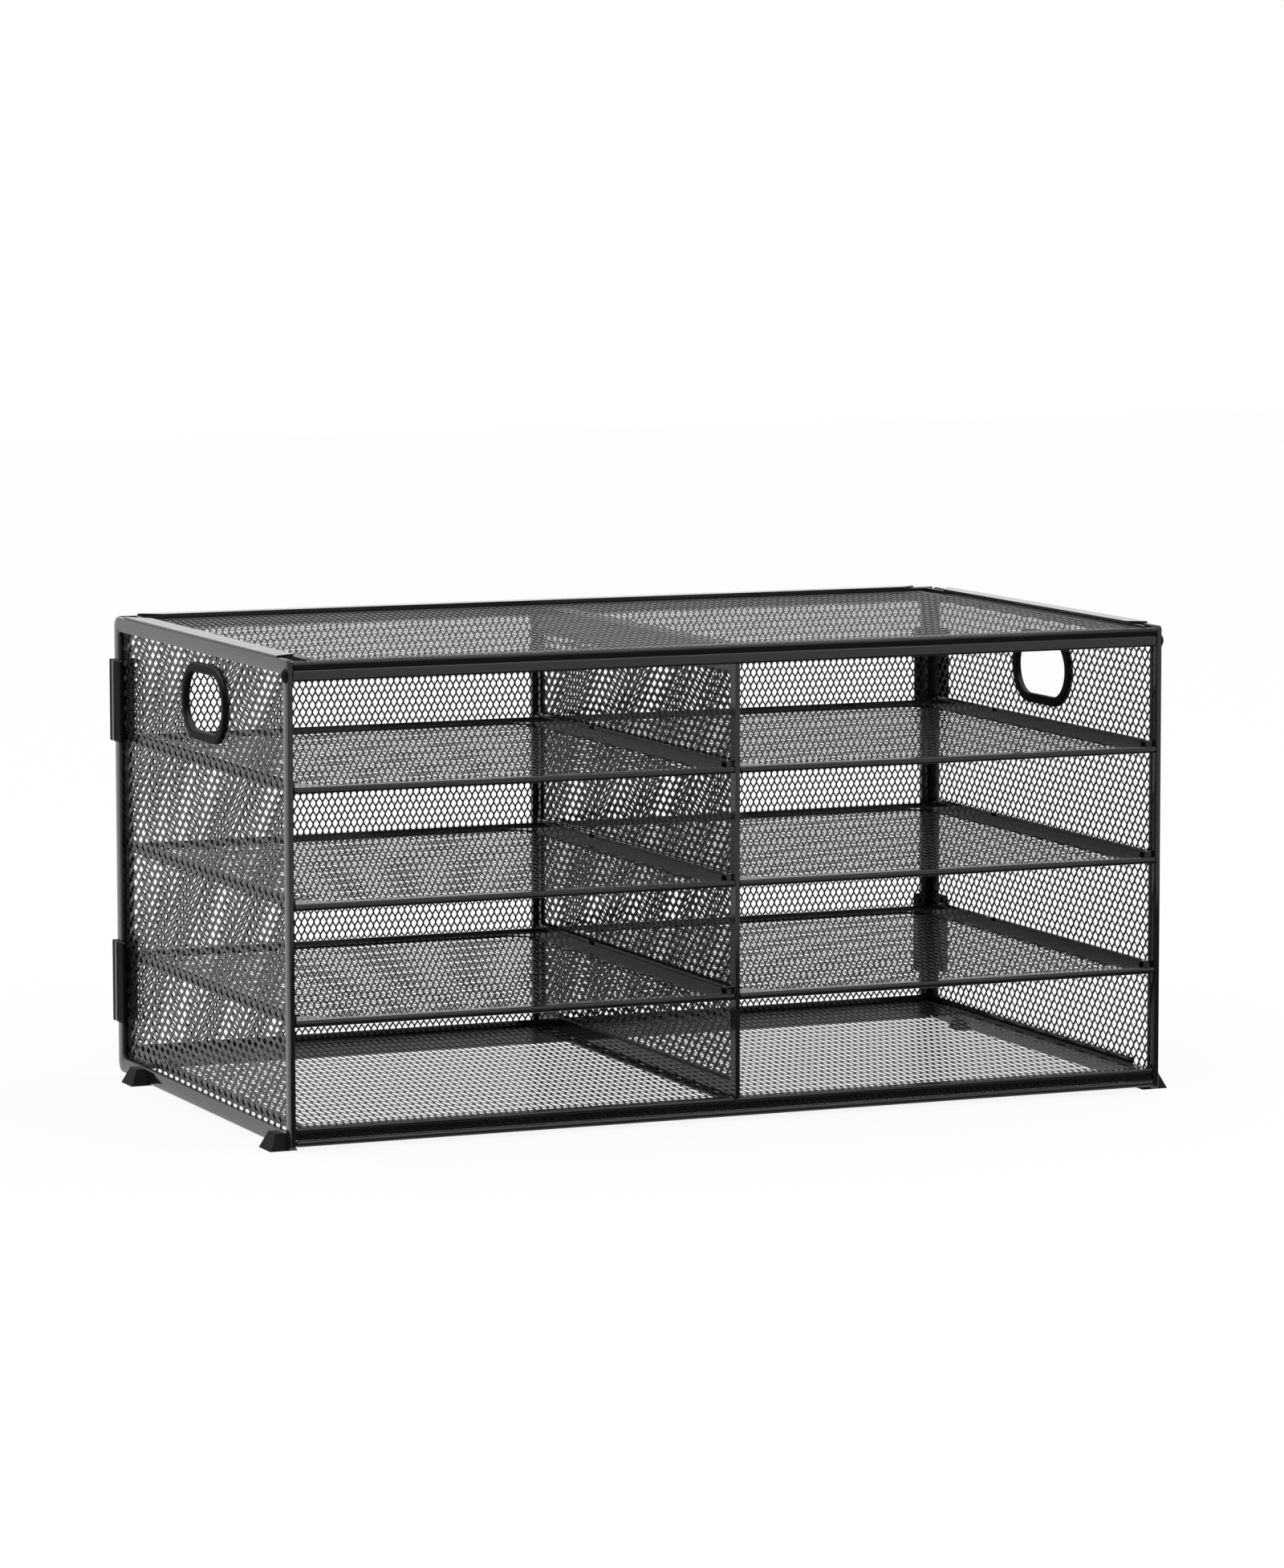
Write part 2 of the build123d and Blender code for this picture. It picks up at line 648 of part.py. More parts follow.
# Feet: blocks with leaning walls that hold the bottom bars of the side frames in a slot
foot_places = {"front": front + foot_front_setback, "rear": rear - foot_rear_setback}
foot_height = foot_drop + foot_climb
foot_inner_top = base + bar_face - mesh_lap
for side_name, side in sides.items():
    for foot_name, foot_y in foot_places.items():
        inward = Align.MIN if side < 0 else Align.MAX
        slot_align = (inward, Align.CENTER, Align.MIN)
        with BuildPart() as foot:
            with BuildSketch():
                with Locations((side * (width / 2 - bar_thickness / 2 + foot_shift), foot_y)):
                    Rectangle(foot_width, foot_length)
            extrude(amount=foot_height, taper=foot_taper)
            lean_edges = foot.edges().filter_by(lambda edge: edge.bounding_box().size.Z > foot_height / 2)
            fillet(lean_edges, foot_round)
            with Locations((side * width / 2, foot_y, base)):
                Box(bar_thickness, foot_length, foot_climb, align=slot_align, mode=Mode.SUBTRACT)
            with Locations((side * inner_side, foot_y, foot_inner_top)):
                Box(foot_width, foot_length, foot_climb, align=slot_align, mode=Mode.SUBTRACT)
        finish(foot, f"{side_name}_{foot_name}_foot")
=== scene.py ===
import json
import math

import bpy
from bpy.props import FloatProperty, FloatVectorProperty, IntProperty, PointerProperty
from bpy.types import Operator, Panel, PropertyGroup
from mathutils import Matrix, Vector


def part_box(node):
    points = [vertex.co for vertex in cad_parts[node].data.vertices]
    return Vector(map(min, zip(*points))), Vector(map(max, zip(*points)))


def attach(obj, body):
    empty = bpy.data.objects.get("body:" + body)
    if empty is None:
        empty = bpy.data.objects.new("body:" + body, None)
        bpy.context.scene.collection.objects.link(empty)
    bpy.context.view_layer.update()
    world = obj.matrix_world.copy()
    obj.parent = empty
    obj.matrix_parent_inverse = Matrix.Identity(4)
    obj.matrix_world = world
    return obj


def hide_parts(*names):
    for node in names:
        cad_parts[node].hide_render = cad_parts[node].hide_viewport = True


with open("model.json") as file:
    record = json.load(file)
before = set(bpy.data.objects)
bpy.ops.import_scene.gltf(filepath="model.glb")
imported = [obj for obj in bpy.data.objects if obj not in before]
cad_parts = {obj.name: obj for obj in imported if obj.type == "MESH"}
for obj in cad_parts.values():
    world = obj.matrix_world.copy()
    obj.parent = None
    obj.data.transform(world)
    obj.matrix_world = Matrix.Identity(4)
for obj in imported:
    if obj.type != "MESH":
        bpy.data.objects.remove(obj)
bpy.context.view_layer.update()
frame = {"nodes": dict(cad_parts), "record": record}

bl_info = {
    "name": "Mesh File Sorter",
    "version": (1, 0, 0),
    "blender": (4, 5, 0),
    "location": "View3D > Sidebar > Sorter",
    "description": "Dresses the packed frame of a two-bay mesh file sorter",
    "category": "Add Mesh",
}

MM = 0.001
SIDES = ("left", "right")
LEVELS = ("lower", "middle", "upper")
CORNERS = ("upper", "lower")

FACING = 0.9  # least part of a normal along an axis for a face that looks that way
SHARP = math.radians(40)  # edges sharper than this are rounded
SMOOTH = math.radians(35)  # faces that meet at less than this shade as one
CELL_SIDES = 6
HEXAGON_HALF = math.sin(math.radians(60))  # half width of a hexagon of radius 1
GAP_INSET = 0.01  # first inset of a gap, as a share of the cell width
NEAR = 0.02  # points closer than this share of a cell are one
SPARE_CELLS = 2  # cells past the size of a net, which are cut off
CORNER_STEPS = 6
EDGE_STEPS = 3
BEAD_STEPS = 5
WINDOW_SIDES = 32
CUTTER_REACH = 4  # depth of the window's cutter, in thicknesses of a handle ring
FLOOR_SPAN = 12.0  # metres
FILM_HEIGHT = 36.0  # millimetres
FAR_CLIP = 50.0  # metres
WHITE = (1.0, 1.0, 1.0, 1.0)

# Sockets of a Mix node that blends colours
MIX_SHARE = 0
MIX_FIRST = 6
MIX_SECOND = 7
MIX_RESULT = 2

# Axes of a panel: its own X, Y and Z as columns
FACING_SIDE = Matrix(((0, 0, 1), (1, 0, 0), (0, 1, 0))).to_4x4()
FACING_REAR = Matrix(((1, 0, 0), (0, 0, -1), (0, 1, 0))).to_4x4()
LYING = Matrix.Identity(4)


class SorterNets(PropertyGroup):
    """Cells of the expanded metal"""

    left_pitch: FloatProperty(
        name="Left pitch", description="Cell width on the left panel", default=9.8 * MM, unit="LENGTH"
    )
    right_pitch: FloatProperty(
        name="Right pitch", description="Cell width on the right panel", default=6.8 * MM, unit="LENGTH"
    )
    divider_pitch: FloatProperty(
        name="Divider pitch", description="Cell width on the divider", default=8.8 * MM, unit="LENGTH"
    )
    side_row: FloatProperty(
        name="Side row",
        description="Row spacing on the side panels and the divider",
        default=4.2 * MM,
        unit="LENGTH",
    )
    rear_pitch: FloatProperty(
        name="Rear pitch", description="Cell width on the rear panel", default=3.8 * MM, unit="LENGTH"
    )
    rear_row: FloatProperty(
        name="Rear row", description="Row spacing on the rear panel", default=4.0 * MM, unit="LENGTH"
    )
    floor_pitch: FloatProperty(
        name="Floor pitch", description="Cell width on trays and shelves", default=4.0 * MM, unit="LENGTH"
    )
    floor_row: FloatProperty(
        name="Floor row", description="Row spacing on trays and shelves", default=13.0 * MM, unit="LENGTH"
    )
    side_open: FloatVectorProperty(
        name="Side gap",
        description="Gap width and height on the left panel and the divider, as shares of the cell",
        default=(0.66, 0.65),
        size=2,
        subtype="COORDINATES",
    )
    rear_open: FloatVectorProperty(
        name="Rear gap",
        description="Gap width and height on the rear and right panels, as shares of the cell",
        default=(0.76, 0.81),
        size=2,
        subtype="COORDINATES",
    )
    floor_open: FloatVectorProperty(
        name="Floor gap",
        description="Gap width and depth on trays and shelves, as shares of the cell",
        default=(0.72, 0.78),
        size=2,
        subtype="COORDINATES",
    )
    point: FloatProperty(
        name="Point",
        description="Reach of a cell's upper and lower points, as a share of the row spacing",
        default=0.8,
        subtype="FACTOR",
    )
    twist: FloatProperty(
        name="Twist",
        description="Rise of the upper edge of a gap on upright panels, and fall of the lower one",
        default=0.12 * MM,
        unit="LENGTH",
    )
    gauge: FloatProperty(
        name="Gauge", description="Thickness of the upright expanded metal", default=0.25 * MM, unit="LENGTH"
    )
    floor_gauge: FloatProperty(
        name="Floor gauge",
        description="Thickness of the expanded metal on trays and shelves",
        default=0.15 * MM,
        unit="LENGTH",
    )
    edge: FloatProperty(
        name="Edge", description="Solid edge of a net, hidden by its frame", default=2.0 * MM, unit="LENGTH"
    )


class SorterBars(PropertyGroup):
    """Sections of the bars, rails and lips"""

    bar_face: FloatProperty(
        name="Bar face", description="Face width of a side frame bar", default=8.2 * MM, unit="LENGTH"
    )
    bar_round: FloatProperty(
        name="Bar rounding", description="Rounding of a side frame bar", default=0.9 * MM, unit="LENGTH"
    )
    front_corner: FloatProperty(
        name="Front corner", description="Outer radius of a front corner", default=2.0 * MM, unit="LENGTH"
    )
    rear_corner: FloatProperty(
        name="Rear corner", description="Outer radius of a rear corner", default=6.0 * MM, unit="LENGTH"
    )
    inner_corner: FloatProperty(
        name="Inner corner", description="Corner radius of the panel opening", default=2.5 * MM, unit="LENGTH"
    )
    rail_hollow: FloatProperty(
        name="Rail hollow",
        description="Depth of the hollow in the front top rail",
        default=0.3 * MM,
        unit="LENGTH",
    )
    rail_fold: FloatProperty(
        name="Rail fold",
        description="Height of the deepest line of that hollow",
        default=2.6 * MM,
        unit="LENGTH",
    )
    # The strip behind the front top rail is painted shade: a dark plastic strip that stands for the shade in
    # the groove there
    painted_shade_strip_front: FloatProperty(
        name="Seal setback",
        description="Seal strip behind the front top rail",
        default=0.6 * MM,
        unit="LENGTH",
    )
    painted_shade_strip_depth: FloatProperty(
        name="Seal depth", description="Depth of the seal strip", default=1.5 * MM, unit="LENGTH"
    )
    painted_shade_strip_height: FloatProperty(
        name="Seal height", description="Height of the seal strip", default=1.9 * MM, unit="LENGTH"
    )
    painted_shade_strip_round: FloatProperty(
        name="Seal rounding", description="Rounding of the seal strip", default=0.3 * MM, unit="LENGTH"
    )
    rail_round: FloatProperty(
        name="Rail rounding", description="Rounding of the front top rail", default=1.3 * MM, unit="LENGTH"
    )
    lower_bead: FloatProperty(
        name="Lower bead", description="Lower bead of the front bottom rail", default=3.4 * MM, unit="LENGTH"
    )
    upper_bead: FloatProperty(
        name="Upper bead", description="Upper bead of the front bottom rail", default=2.6 * MM, unit="LENGTH"
    )
    strip_setback: FloatProperty(
        name="Strip setback",
        description="Slotted strip behind the lower bead",
        default=2.2 * MM,
        unit="LENGTH",
    )
    bead_setback: FloatProperty(
        name="Bead setback", description="Upper bead behind the lower bead", default=0.9 * MM, unit="LENGTH"
    )
    lower_round: FloatProperty(
        name="Lower rounding", description="Rounding of the lower bead", default=1.5 * MM, unit="LENGTH"
    )
    upper_round: FloatProperty(
        name="Upper rounding", description="Rounding of the upper bead", default=1.1 * MM, unit="LENGTH"
    )
    slots: IntProperty(name="Slots", description="Number of slots in the bottom rail", default=110)
    slot_border: FloatProperty(
        name="Slot border",
        description="Border round a slot in the bottom rail",
        default=1.2 * MM,
        unit="LENGTH",
    )
    slot_depth: FloatProperty(
        name="Slot depth", description="Depth of a slot in the bottom rail", default=0.7 * MM, unit="LENGTH"
    )
    lip_height: FloatProperty(
        name="Lip height", description="Height of the front lip of a shelf", default=3.2 * MM, unit="LENGTH"
    )
    lip_cover: FloatProperty(
        name="Lip cover",
        description="Thickness of the rolled cover of a lip",
        default=2.0 * MM,
        unit="LENGTH",
    )
    lip_relief: FloatProperty(
        name="Lip relief",
        description="Front of that cover ahead of the lip",
        default=0.15 * MM,
        unit="LENGTH",
    )
    lip_round: FloatProperty(
        name="Lip rounding", description="Rounding of that cover", default=1.3 * MM, unit="LENGTH"
    )
    window_lap: FloatProperty(
        name="Window lap", description="Net under the band of a handle ring", default=2.6 * MM, unit="LENGTH"
    )
    clip_round: FloatProperty(
        name="Clip rounding", description="Rounding of a rear clip", default=0.5 * MM, unit="LENGTH"
    )
    # A hinge pin of steel along each clip, whose lighter coat paints the highlight line along the clip's
    # rounded corner
    highlight_pin_width: FloatProperty(
        name="Pin width", description="Width of the pin in a rear clip", default=3.2 * MM, unit="LENGTH"
    )
    highlight_pin_setback: FloatProperty(
        name="Pin setback", description="Pin from the rear of its clip", default=6.0 * MM, unit="LENGTH"
    )
    highlight_pin_relief: FloatProperty(
        name="Pin relief", description="Pin proud of its clip", default=0.5 * MM, unit="LENGTH"
    )


class SorterFinishes(PropertyGroup):
    """Colours of the finishes"""

    steel: FloatVectorProperty(
        name="Steel",
        description="Powder coat on bars and sheet",
        default=(0.008, 0.008, 0.0083),
        subtype="COLOR",
    )
    net: FloatVectorProperty(
        name="Net",
        description="Powder coat on the expanded metal",
        default=(0.02, 0.02, 0.0204),
        subtype="COLOR",
    )
    plastic: FloatVectorProperty(
        name="Plastic", description="Moulded clips and feet", default=(0.006, 0.006, 0.0062), subtype="COLOR"
    )
    # Dust colour, and also painted sheen: it lightens surfaces that face up as if they caught the light
    dust_and_sheen: FloatVectorProperty(
        name="Dust",
        description="Fine dust on surfaces that face up",
        default=(0.32, 0.32, 0.325),
        subtype="COLOR",
    )
    screw: FloatVectorProperty(
        name="Screw", description="Black oxide on the screws", default=(0.005, 0.005, 0.0052), subtype="COLOR"
    )


class SorterStage(PropertyGroup):
    """Camera, floor and light"""

    camera_place: FloatVectorProperty(
        name="Camera", description="Place of the camera", default=(-1.335, -3.1935, 0.5602), subtype="XYZ"
    )
    camera_yaw: FloatProperty(
        name="Yaw",
        description="Turn to the right of the depth axis",
        default=math.radians(22.79),
        subtype="ANGLE",
    )
    camera_pitch: FloatProperty(
        name="Pitch", description="Tilt below the horizon", default=math.radians(6.48), subtype="ANGLE"
    )
    camera_roll: FloatProperty(
        name="Roll", description="Turn about the line of sight", default=math.radians(0.09), subtype="ANGLE"
    )
    lens: FloatProperty(
        name="Lens", description="Focal length on a 36 mm frame, in millimetres", default=143.96
    )
    floor: FloatVectorProperty(
        name="Floor", description="Colour of the floor", default=(0.9, 0.9, 0.9), subtype="COLOR"
    )
    floor_glow: FloatProperty(
        name="Floor glow", description="Share of plain white in the floor", default=0.9, subtype="FACTOR"
    )
    # The dark sheet in front is painted shade: seen only in reflections, it darkens the lower front faces as
    # the object's shadow on the floor would
    flag: FloatVectorProperty(
        name="Flag colour",
        description="Colour of the dark cloth",
        default=(0.02, 0.02, 0.02),
        subtype="COLOR",
    )
    painted_shade_sheet_place: FloatVectorProperty(
        name="Flag",
        description="Middle of the dark cloth in front",
        default=(0.3, -0.45, 0.001),
        subtype="XYZ",
    )
    painted_shade_sheet_size: FloatVectorProperty(
        name="Flag size",
        description="Width and depth of the dark cloth",
        default=(1.6, 0.6),
        size=2,
        subtype="XYZ",
    )
    fill: FloatProperty(name="Fill", description="Strength of the light from all round", default=1.0)
    aim: FloatVectorProperty(
        name="Aim", description="Point that the lamps face", default=(0.0, 0.0, 0.1), subtype="XYZ"
    )
    key: FloatProperty(name="Key", description="Power of the main lamp, in watts", default=6.0)
    key_place: FloatVectorProperty(
        name="Key place", description="Place of the main lamp", default=(-1.6, -1.4, 2.2), subtype="XYZ"
    )
    key_size: FloatVectorProperty(
        name="Key size",
        description="Width and height of the main lamp",
        default=(1.6, 1.6),
        size=2,
        subtype="XYZ",
    )
    rim: FloatProperty(name="Rim", description="Power of the lamp on the right, in watts", default=3.0)
    rim_place: FloatVectorProperty(
        name="Rim place", description="Place of the lamp on the right", default=(1.8, 0.4, 1.8), subtype="XYZ"
    )
    rim_size: FloatVectorProperty(
        name="Rim size",
        description="Width and height of the lamp on the right",
        default=(1.4, 1.4),
        size=2,
        subtype="XYZ",
    )
    strip: FloatProperty(name="Strip", description="Power of the strip lamp in front, in watts", default=4.5)
    strip_place: FloatVectorProperty(
        name="Strip place", description="Place of the strip lamp", default=(0.3, -1.3, 1.5), subtype="XYZ"
    )
    strip_size: FloatVectorProperty(
        name="Strip size",
        description="Width and height of the strip lamp",
        default=(1.4, 0.25),
        size=2,
        subtype="XYZ",
    )


def only(obj):
    """Make one object the active and only selected one."""
    bpy.ops.object.select_all(action="DESELECT")
    obj.select_set(True)
    bpy.context.view_layer.objects.active = obj


def edit(obj, test=None, kind="FACE"):
    """Enter edit mode with all of a piece selected, or only the faces or vertices that pass a test."""
    only(obj)
    bpy.ops.object.mode_set(mode="EDIT")
    bpy.ops.mesh.select_mode(type=kind)
    if test is None:
        bpy.ops.mesh.select_all(action="SELECT")
        return
    bpy.ops.mesh.select_all(action="DESELECT")
    bpy.ops.object.mode_set(mode="OBJECT")
    for item in obj.data.polygons if kind == "FACE" else obj.data.vertices:
        item.select = test(item)
    bpy.ops.object.mode_set(mode="EDIT")


def leave():
    """Return to object mode."""
    bpy.ops.object.mode_set(mode="OBJECT")


def modify(obj, kind, **settings):
    """Add a modifier with these settings and apply it."""
    only(obj)
    modifier = obj.modifiers.new(kind.lower(), kind)
    for name, value in settings.items():
        setattr(modifier, name, value)
    bpy.ops.object.modifier_apply(modifier=modifier.name)


def place(obj, axes, centre):
    """Turn a flat piece into its plane, move it to its place and keep both in the mesh."""
    only(obj)
    obj.matrix_world = Matrix.Translation(centre) @ axes
    bpy.ops.object.transform_apply(location=True, rotation=True, scale=True)


def block(name, low, high):
    """A box between two corners."""
    bpy.ops.object.select_all(action="DESELECT")
    bpy.ops.mesh.primitive_cube_add(size=1.0)
    piece = bpy.context.object
    piece.name = name
    edit(piece)
    bpy.ops.transform.resize(value=high - low)
    bpy.ops.transform.translate(value=(low + high) / 2)
    leave()
    return piece


def split(piece, level):
    """Cut new edges round a piece at a level."""
    edit(piece)
    bpy.ops.mesh.bisect(plane_co=(0.0, 0.0, level), plane_no=(0.0, 0.0, 1.0))
    leave()


def push(piece, test, move):
    """Extrude the faces that pass a test."""
    edit(piece, test)
    bpy.ops.mesh.extrude_region_move(TRANSFORM_OT_translate={"value": move})
    leave()


def soften(piece, width, segments=EDGE_STEPS):
    """Round the sharp edges of a piece."""
    modify(
        piece,
        "BEVEL",
        width=width,
        segments=segments,
        limit_method="ANGLE",
        angle_limit=SHARP,
    )
    only(piece)
    bpy.ops.object.shade_smooth_by_angle(angle=SMOOTH)


def copy_of(obj, name, shift):
    """A copy of a piece with its own mesh, moved by a shift."""
    only(obj)
    bpy.ops.object.duplicate()
    twin = bpy.context.object
    twin.name = name
    twin.location = shift
    bpy.ops.object.transform_apply(location=True, rotation=True, scale=True)
    return twin


def settle(obj, body, nodes, finish):
    """Give a finished piece its finish, its body and the nodes that it stands for."""
    obj.data.name = obj.name
    obj.data.materials.clear()
    obj.data.materials.append(finish)
    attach(obj, body)
    if nodes:
        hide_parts(*nodes)


def hole_of(net):
    """The six-sided face in the middle of a cell."""
    return next(face for face in net.data.polygons if face.material_index == 1)


def flat_net(name, length, height, pitch, row, gap_shares, twist, gauge):
    """A net of staggered six-sided cells with a solid edge, lying about the origin."""
    nets = bpy.context.scene.sorter_nets
    edge = nets.edge
    bpy.ops.object.select_all(action="DESELECT")
    bpy.ops.mesh.primitive_circle_add(vertices=CELL_SIDES, radius=1.0, fill_type="NGON")
    net = bpy.context.object
    net.name = name
    edit(net)
    shoulder = row * (1 - nets.point)
    bpy.ops.transform.resize(value=(pitch / 2 / HEXAGON_HALF, 2 * shoulder, 1.0))
    leave()
    # The points stand at two shoulders, the other corners at one
    for way in (-1, 1):
        edit(net, lambda vertex: vertex.co.y * way > 1.5 * shoulder, "VERT")
        bpy.ops.transform.translate(value=(0.0, way * (row * nets.point - 2 * shoulder), 0.0))
        leave()
    edit(net)
    bpy.ops.mesh.inset(thickness=GAP_INSET * pitch)
    bpy.ops.transform.resize(value=(*gap_shares, 1.0))
    leave()
    # The gap keeps a mark of its own until it is cut out
    for face in net.data.polygons:
        face.material_index = int(len(face.vertices) == CELL_SIDES)
    for way in (-1, 1):
        edit(net, lambda vertex: vertex.index in hole_of(net).vertices and vertex.co.y * way > 0, "VERT")
        bpy.ops.transform.translate(value=(0.0, 0.0, way * twist))
        leave()
    edit(net)
    bpy.ops.mesh.duplicate_move(TRANSFORM_OT_translate={"value": (pitch / 2, row, 0.0)})
    leave()
    columns = math.ceil(length / pitch) + SPARE_CELLS
    pairs = math.ceil(height / row / 2) + SPARE_CELLS
    for count, step in ((columns, (pitch, 0.0, 0.0)), (pairs, (0.0, 2 * row, 0.0))):
        modify(
            net,
            "ARRAY",
            count=count,
            use_relative_offset=False,
            use_constant_offset=True,
            constant_offset_displace=step,
        )
    edit(net)
    bpy.ops.mesh.remove_doubles(threshold=NEAR * pitch)
    # Bring the middle of the staggered rows to the origin
    bpy.ops.transform.translate(value=(-pitch * (columns - 0.5) / 2, -row * (pairs - 0.5), 0.0))
    for half, axis in ((length / 2, Vector((1, 0, 0))), (height / 2, Vector((0, 1, 0)))):
        for way in (-1, 1):
            for reach, clear in ((half, True), (half - edge, False)):
                bpy.ops.mesh.select_all(action="SELECT")
                bpy.ops.mesh.bisect(plane_co=axis * way * reach, plane_no=axis * way, clear_outer=clear)
    leave()

    def gap(face):
        inside = abs(face.center.x) < length / 2 - edge and abs(face.center.y) < height / 2 - edge
        return face.material_index == 1 and inside

    edit(net, gap)
    bpy.ops.mesh.delete(type="FACE")
    leave()
    net.data.polygons.foreach_set("material_index", [0] * len(net.data.polygons))
    modify(net, "SOLIDIFY", thickness=gauge, offset=0.0)
    return net


def net_for(node, name, pitch, row, gap_shares, axes, share=1):
    """A net with the size and place of a node, or of the first of several equal shares across it."""
    low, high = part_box(node)
    span = axes.to_3x3().transposed() @ (high - low)
    size = [abs(value) for value in span]
    nets = bpy.context.scene.sorter_nets
    lying = axes is LYING
    twist = 0.0 if lying else nets.twist
    gauge = nets.floor_gauge if lying else nets.gauge
    net = flat_net(name, size[0] / share, size[1], pitch, row, gap_shares, twist, gauge)
    across = axes.to_3x3().col[0] * size[0]
    place(net, axes, (low + high) / 2 - across * (share - 1) / share / 2)
    return net


def value_node(tree, kind, place_x, place_y, **settings):
    """A shader node with its settings."""
    node = tree.nodes.new(kind)
    node.location = (place_x, place_y)
    for name, value in settings.items():
        setattr(node, name, value)
    return node


def coat_group():
    """Node group for a sprayed coat: fine peel as a height, and a slow drift of tone and roughness."""
    tree = bpy.data.node_groups.new("sprayed_coat", "ShaderNodeTree")
    for name, kind, default in (
        ("Vector", "NodeSocketVector", None),
        ("Colour", "NodeSocketColor", (0.02, 0.02, 0.02, 1.0)),
        ("Roughness", "NodeSocketFloat", 0.4),
        ("Peel scale", "NodeSocketFloat", 900.0),
        ("Drift", "NodeSocketFloat", 0.2),
    ):
        socket = tree.interface.new_socket(name=name, in_out="INPUT", socket_type=kind)
        if default is not None:
            socket.default_value = default
    for name, kind in (
        ("Colour", "NodeSocketColor"),
        ("Roughness", "NodeSocketFloat"),
        ("Height", "NodeSocketFloat"),
    ):
        tree.interface.new_socket(name=name, in_out="OUTPUT", socket_type=kind)
    take = value_node(tree, "NodeGroupInput", -800, 0)
    give = value_node(tree, "NodeGroupOutput", 600, 0)
    peel = value_node(tree, "ShaderNodeTexNoise", -500, -250)
    peel.inputs["Detail"].default_value = 2.0
    slow = value_node(tree, "ShaderNodeTexNoise", -500, 150)
    slow.inputs["Scale"].default_value = 14.0
    slow.inputs["Detail"].default_value = 3.0
    centred = value_node(tree, "ShaderNodeMath", -300, 150, operation="SUBTRACT")
    centred.inputs[1].default_value = 0.5
    swing = value_node(tree, "ShaderNodeMath", -120, 150, operation="MULTIPLY")
    lift = value_node(tree, "ShaderNodeMath", 60, 250, operation="ADD")
    lift.inputs[1].default_value = 1.0
    tone = value_node(tree, "ShaderNodeVectorMath", 240, 250, operation="SCALE")
    rough = value_node(tree, "ShaderNodeMath", 240, 50, operation="ADD")
    link = tree.links.new
    link(take.outputs["Vector"], peel.inputs["Vector"])
    link(take.outputs["Vector"], slow.inputs["Vector"])
    link(take.outputs["Peel scale"], peel.inputs["Scale"])
    link(slow.outputs["Fac"], centred.inputs[0])
    link(centred.outputs[0], swing.inputs[0])
    link(take.outputs["Drift"], swing.inputs[1])
    link(swing.outputs[0], lift.inputs[0])
    link(take.outputs["Colour"], tone.inputs[0])
    link(lift.outputs[0], tone.inputs["Scale"])
    link(swing.outputs[0], rough.inputs[0])
    link(take.outputs["Roughness"], rough.inputs[1])
    link(tone.outputs[0], give.inputs["Colour"])
    link(rough.outputs[0], give.inputs["Roughness"])
    link(peel.outputs["Fac"], give.inputs["Height"])
    return tree


def dust_and_sheen_group():
    """Node group for fine dust and painted sheen: a patchy mask that lightens surfaces that face up, partly
    as dust and partly as the light that they catch.
    """
    tree = bpy.data.node_groups.new("settled_dust_and_painted_sheen", "ShaderNodeTree")
    for name, kind, default in (
        ("Vector", "NodeSocketVector", None),
        ("Amount", "NodeSocketFloat", 0.5),
        ("Steep", "NodeSocketFloat", 0.25),
        ("Level", "NodeSocketFloat", 0.9),
    ):
        socket = tree.interface.new_socket(name=name, in_out="INPUT", socket_type=kind)
        if default is not None:
            socket.default_value = default
    tree.interface.new_socket(name="Mask", in_out="OUTPUT", socket_type="NodeSocketFloat")
    take = value_node(tree, "NodeGroupInput", -800, 0)
    give = value_node(tree, "NodeGroupOutput", 600, 0)
    face = value_node(tree, "ShaderNodeNewGeometry", -800, 250)
    parts = value_node(tree, "ShaderNodeSeparateXYZ", -600, 250)
    upward = value_node(tree, "ShaderNodeMapRange", -400, 250, interpolation_type="SMOOTHSTEP")
    patches = value_node(tree, "ShaderNodeTexNoise", -600, -100)
    patches.inputs["Scale"].default_value = 60.0
    patches.inputs["Detail"].default_value = 6.0
    spread = value_node(tree, "ShaderNodeMapRange", -400, -100)
    spread.inputs["From Min"].default_value = 0.3
    spread.inputs["From Max"].default_value = 0.7
    spread.inputs["To Min"].default_value = 0.6
    both = value_node(tree, "ShaderNodeMath", -100, 100, operation="MULTIPLY")
    share = value_node(tree, "ShaderNodeMath", 150, 100, operation="MULTIPLY")
    link = tree.links.new
    link(face.outputs["Normal"], parts.inputs[0])
    link(parts.outputs["Z"], upward.inputs["Value"])
    link(take.outputs["Steep"], upward.inputs["From Min"])
    link(take.outputs["Level"], upward.inputs["From Max"])
    link(take.outputs["Vector"], patches.inputs["Vector"])
    link(patches.outputs["Fac"], spread.inputs["Value"])
    link(upward.outputs["Result"], both.inputs[0])
    link(spread.outputs["Result"], both.inputs[1])
    link(both.outputs[0], share.inputs[0])
    link(take.outputs["Amount"], share.inputs[1])
    link(share.outputs[0], give.inputs["Mask"])
    return tree


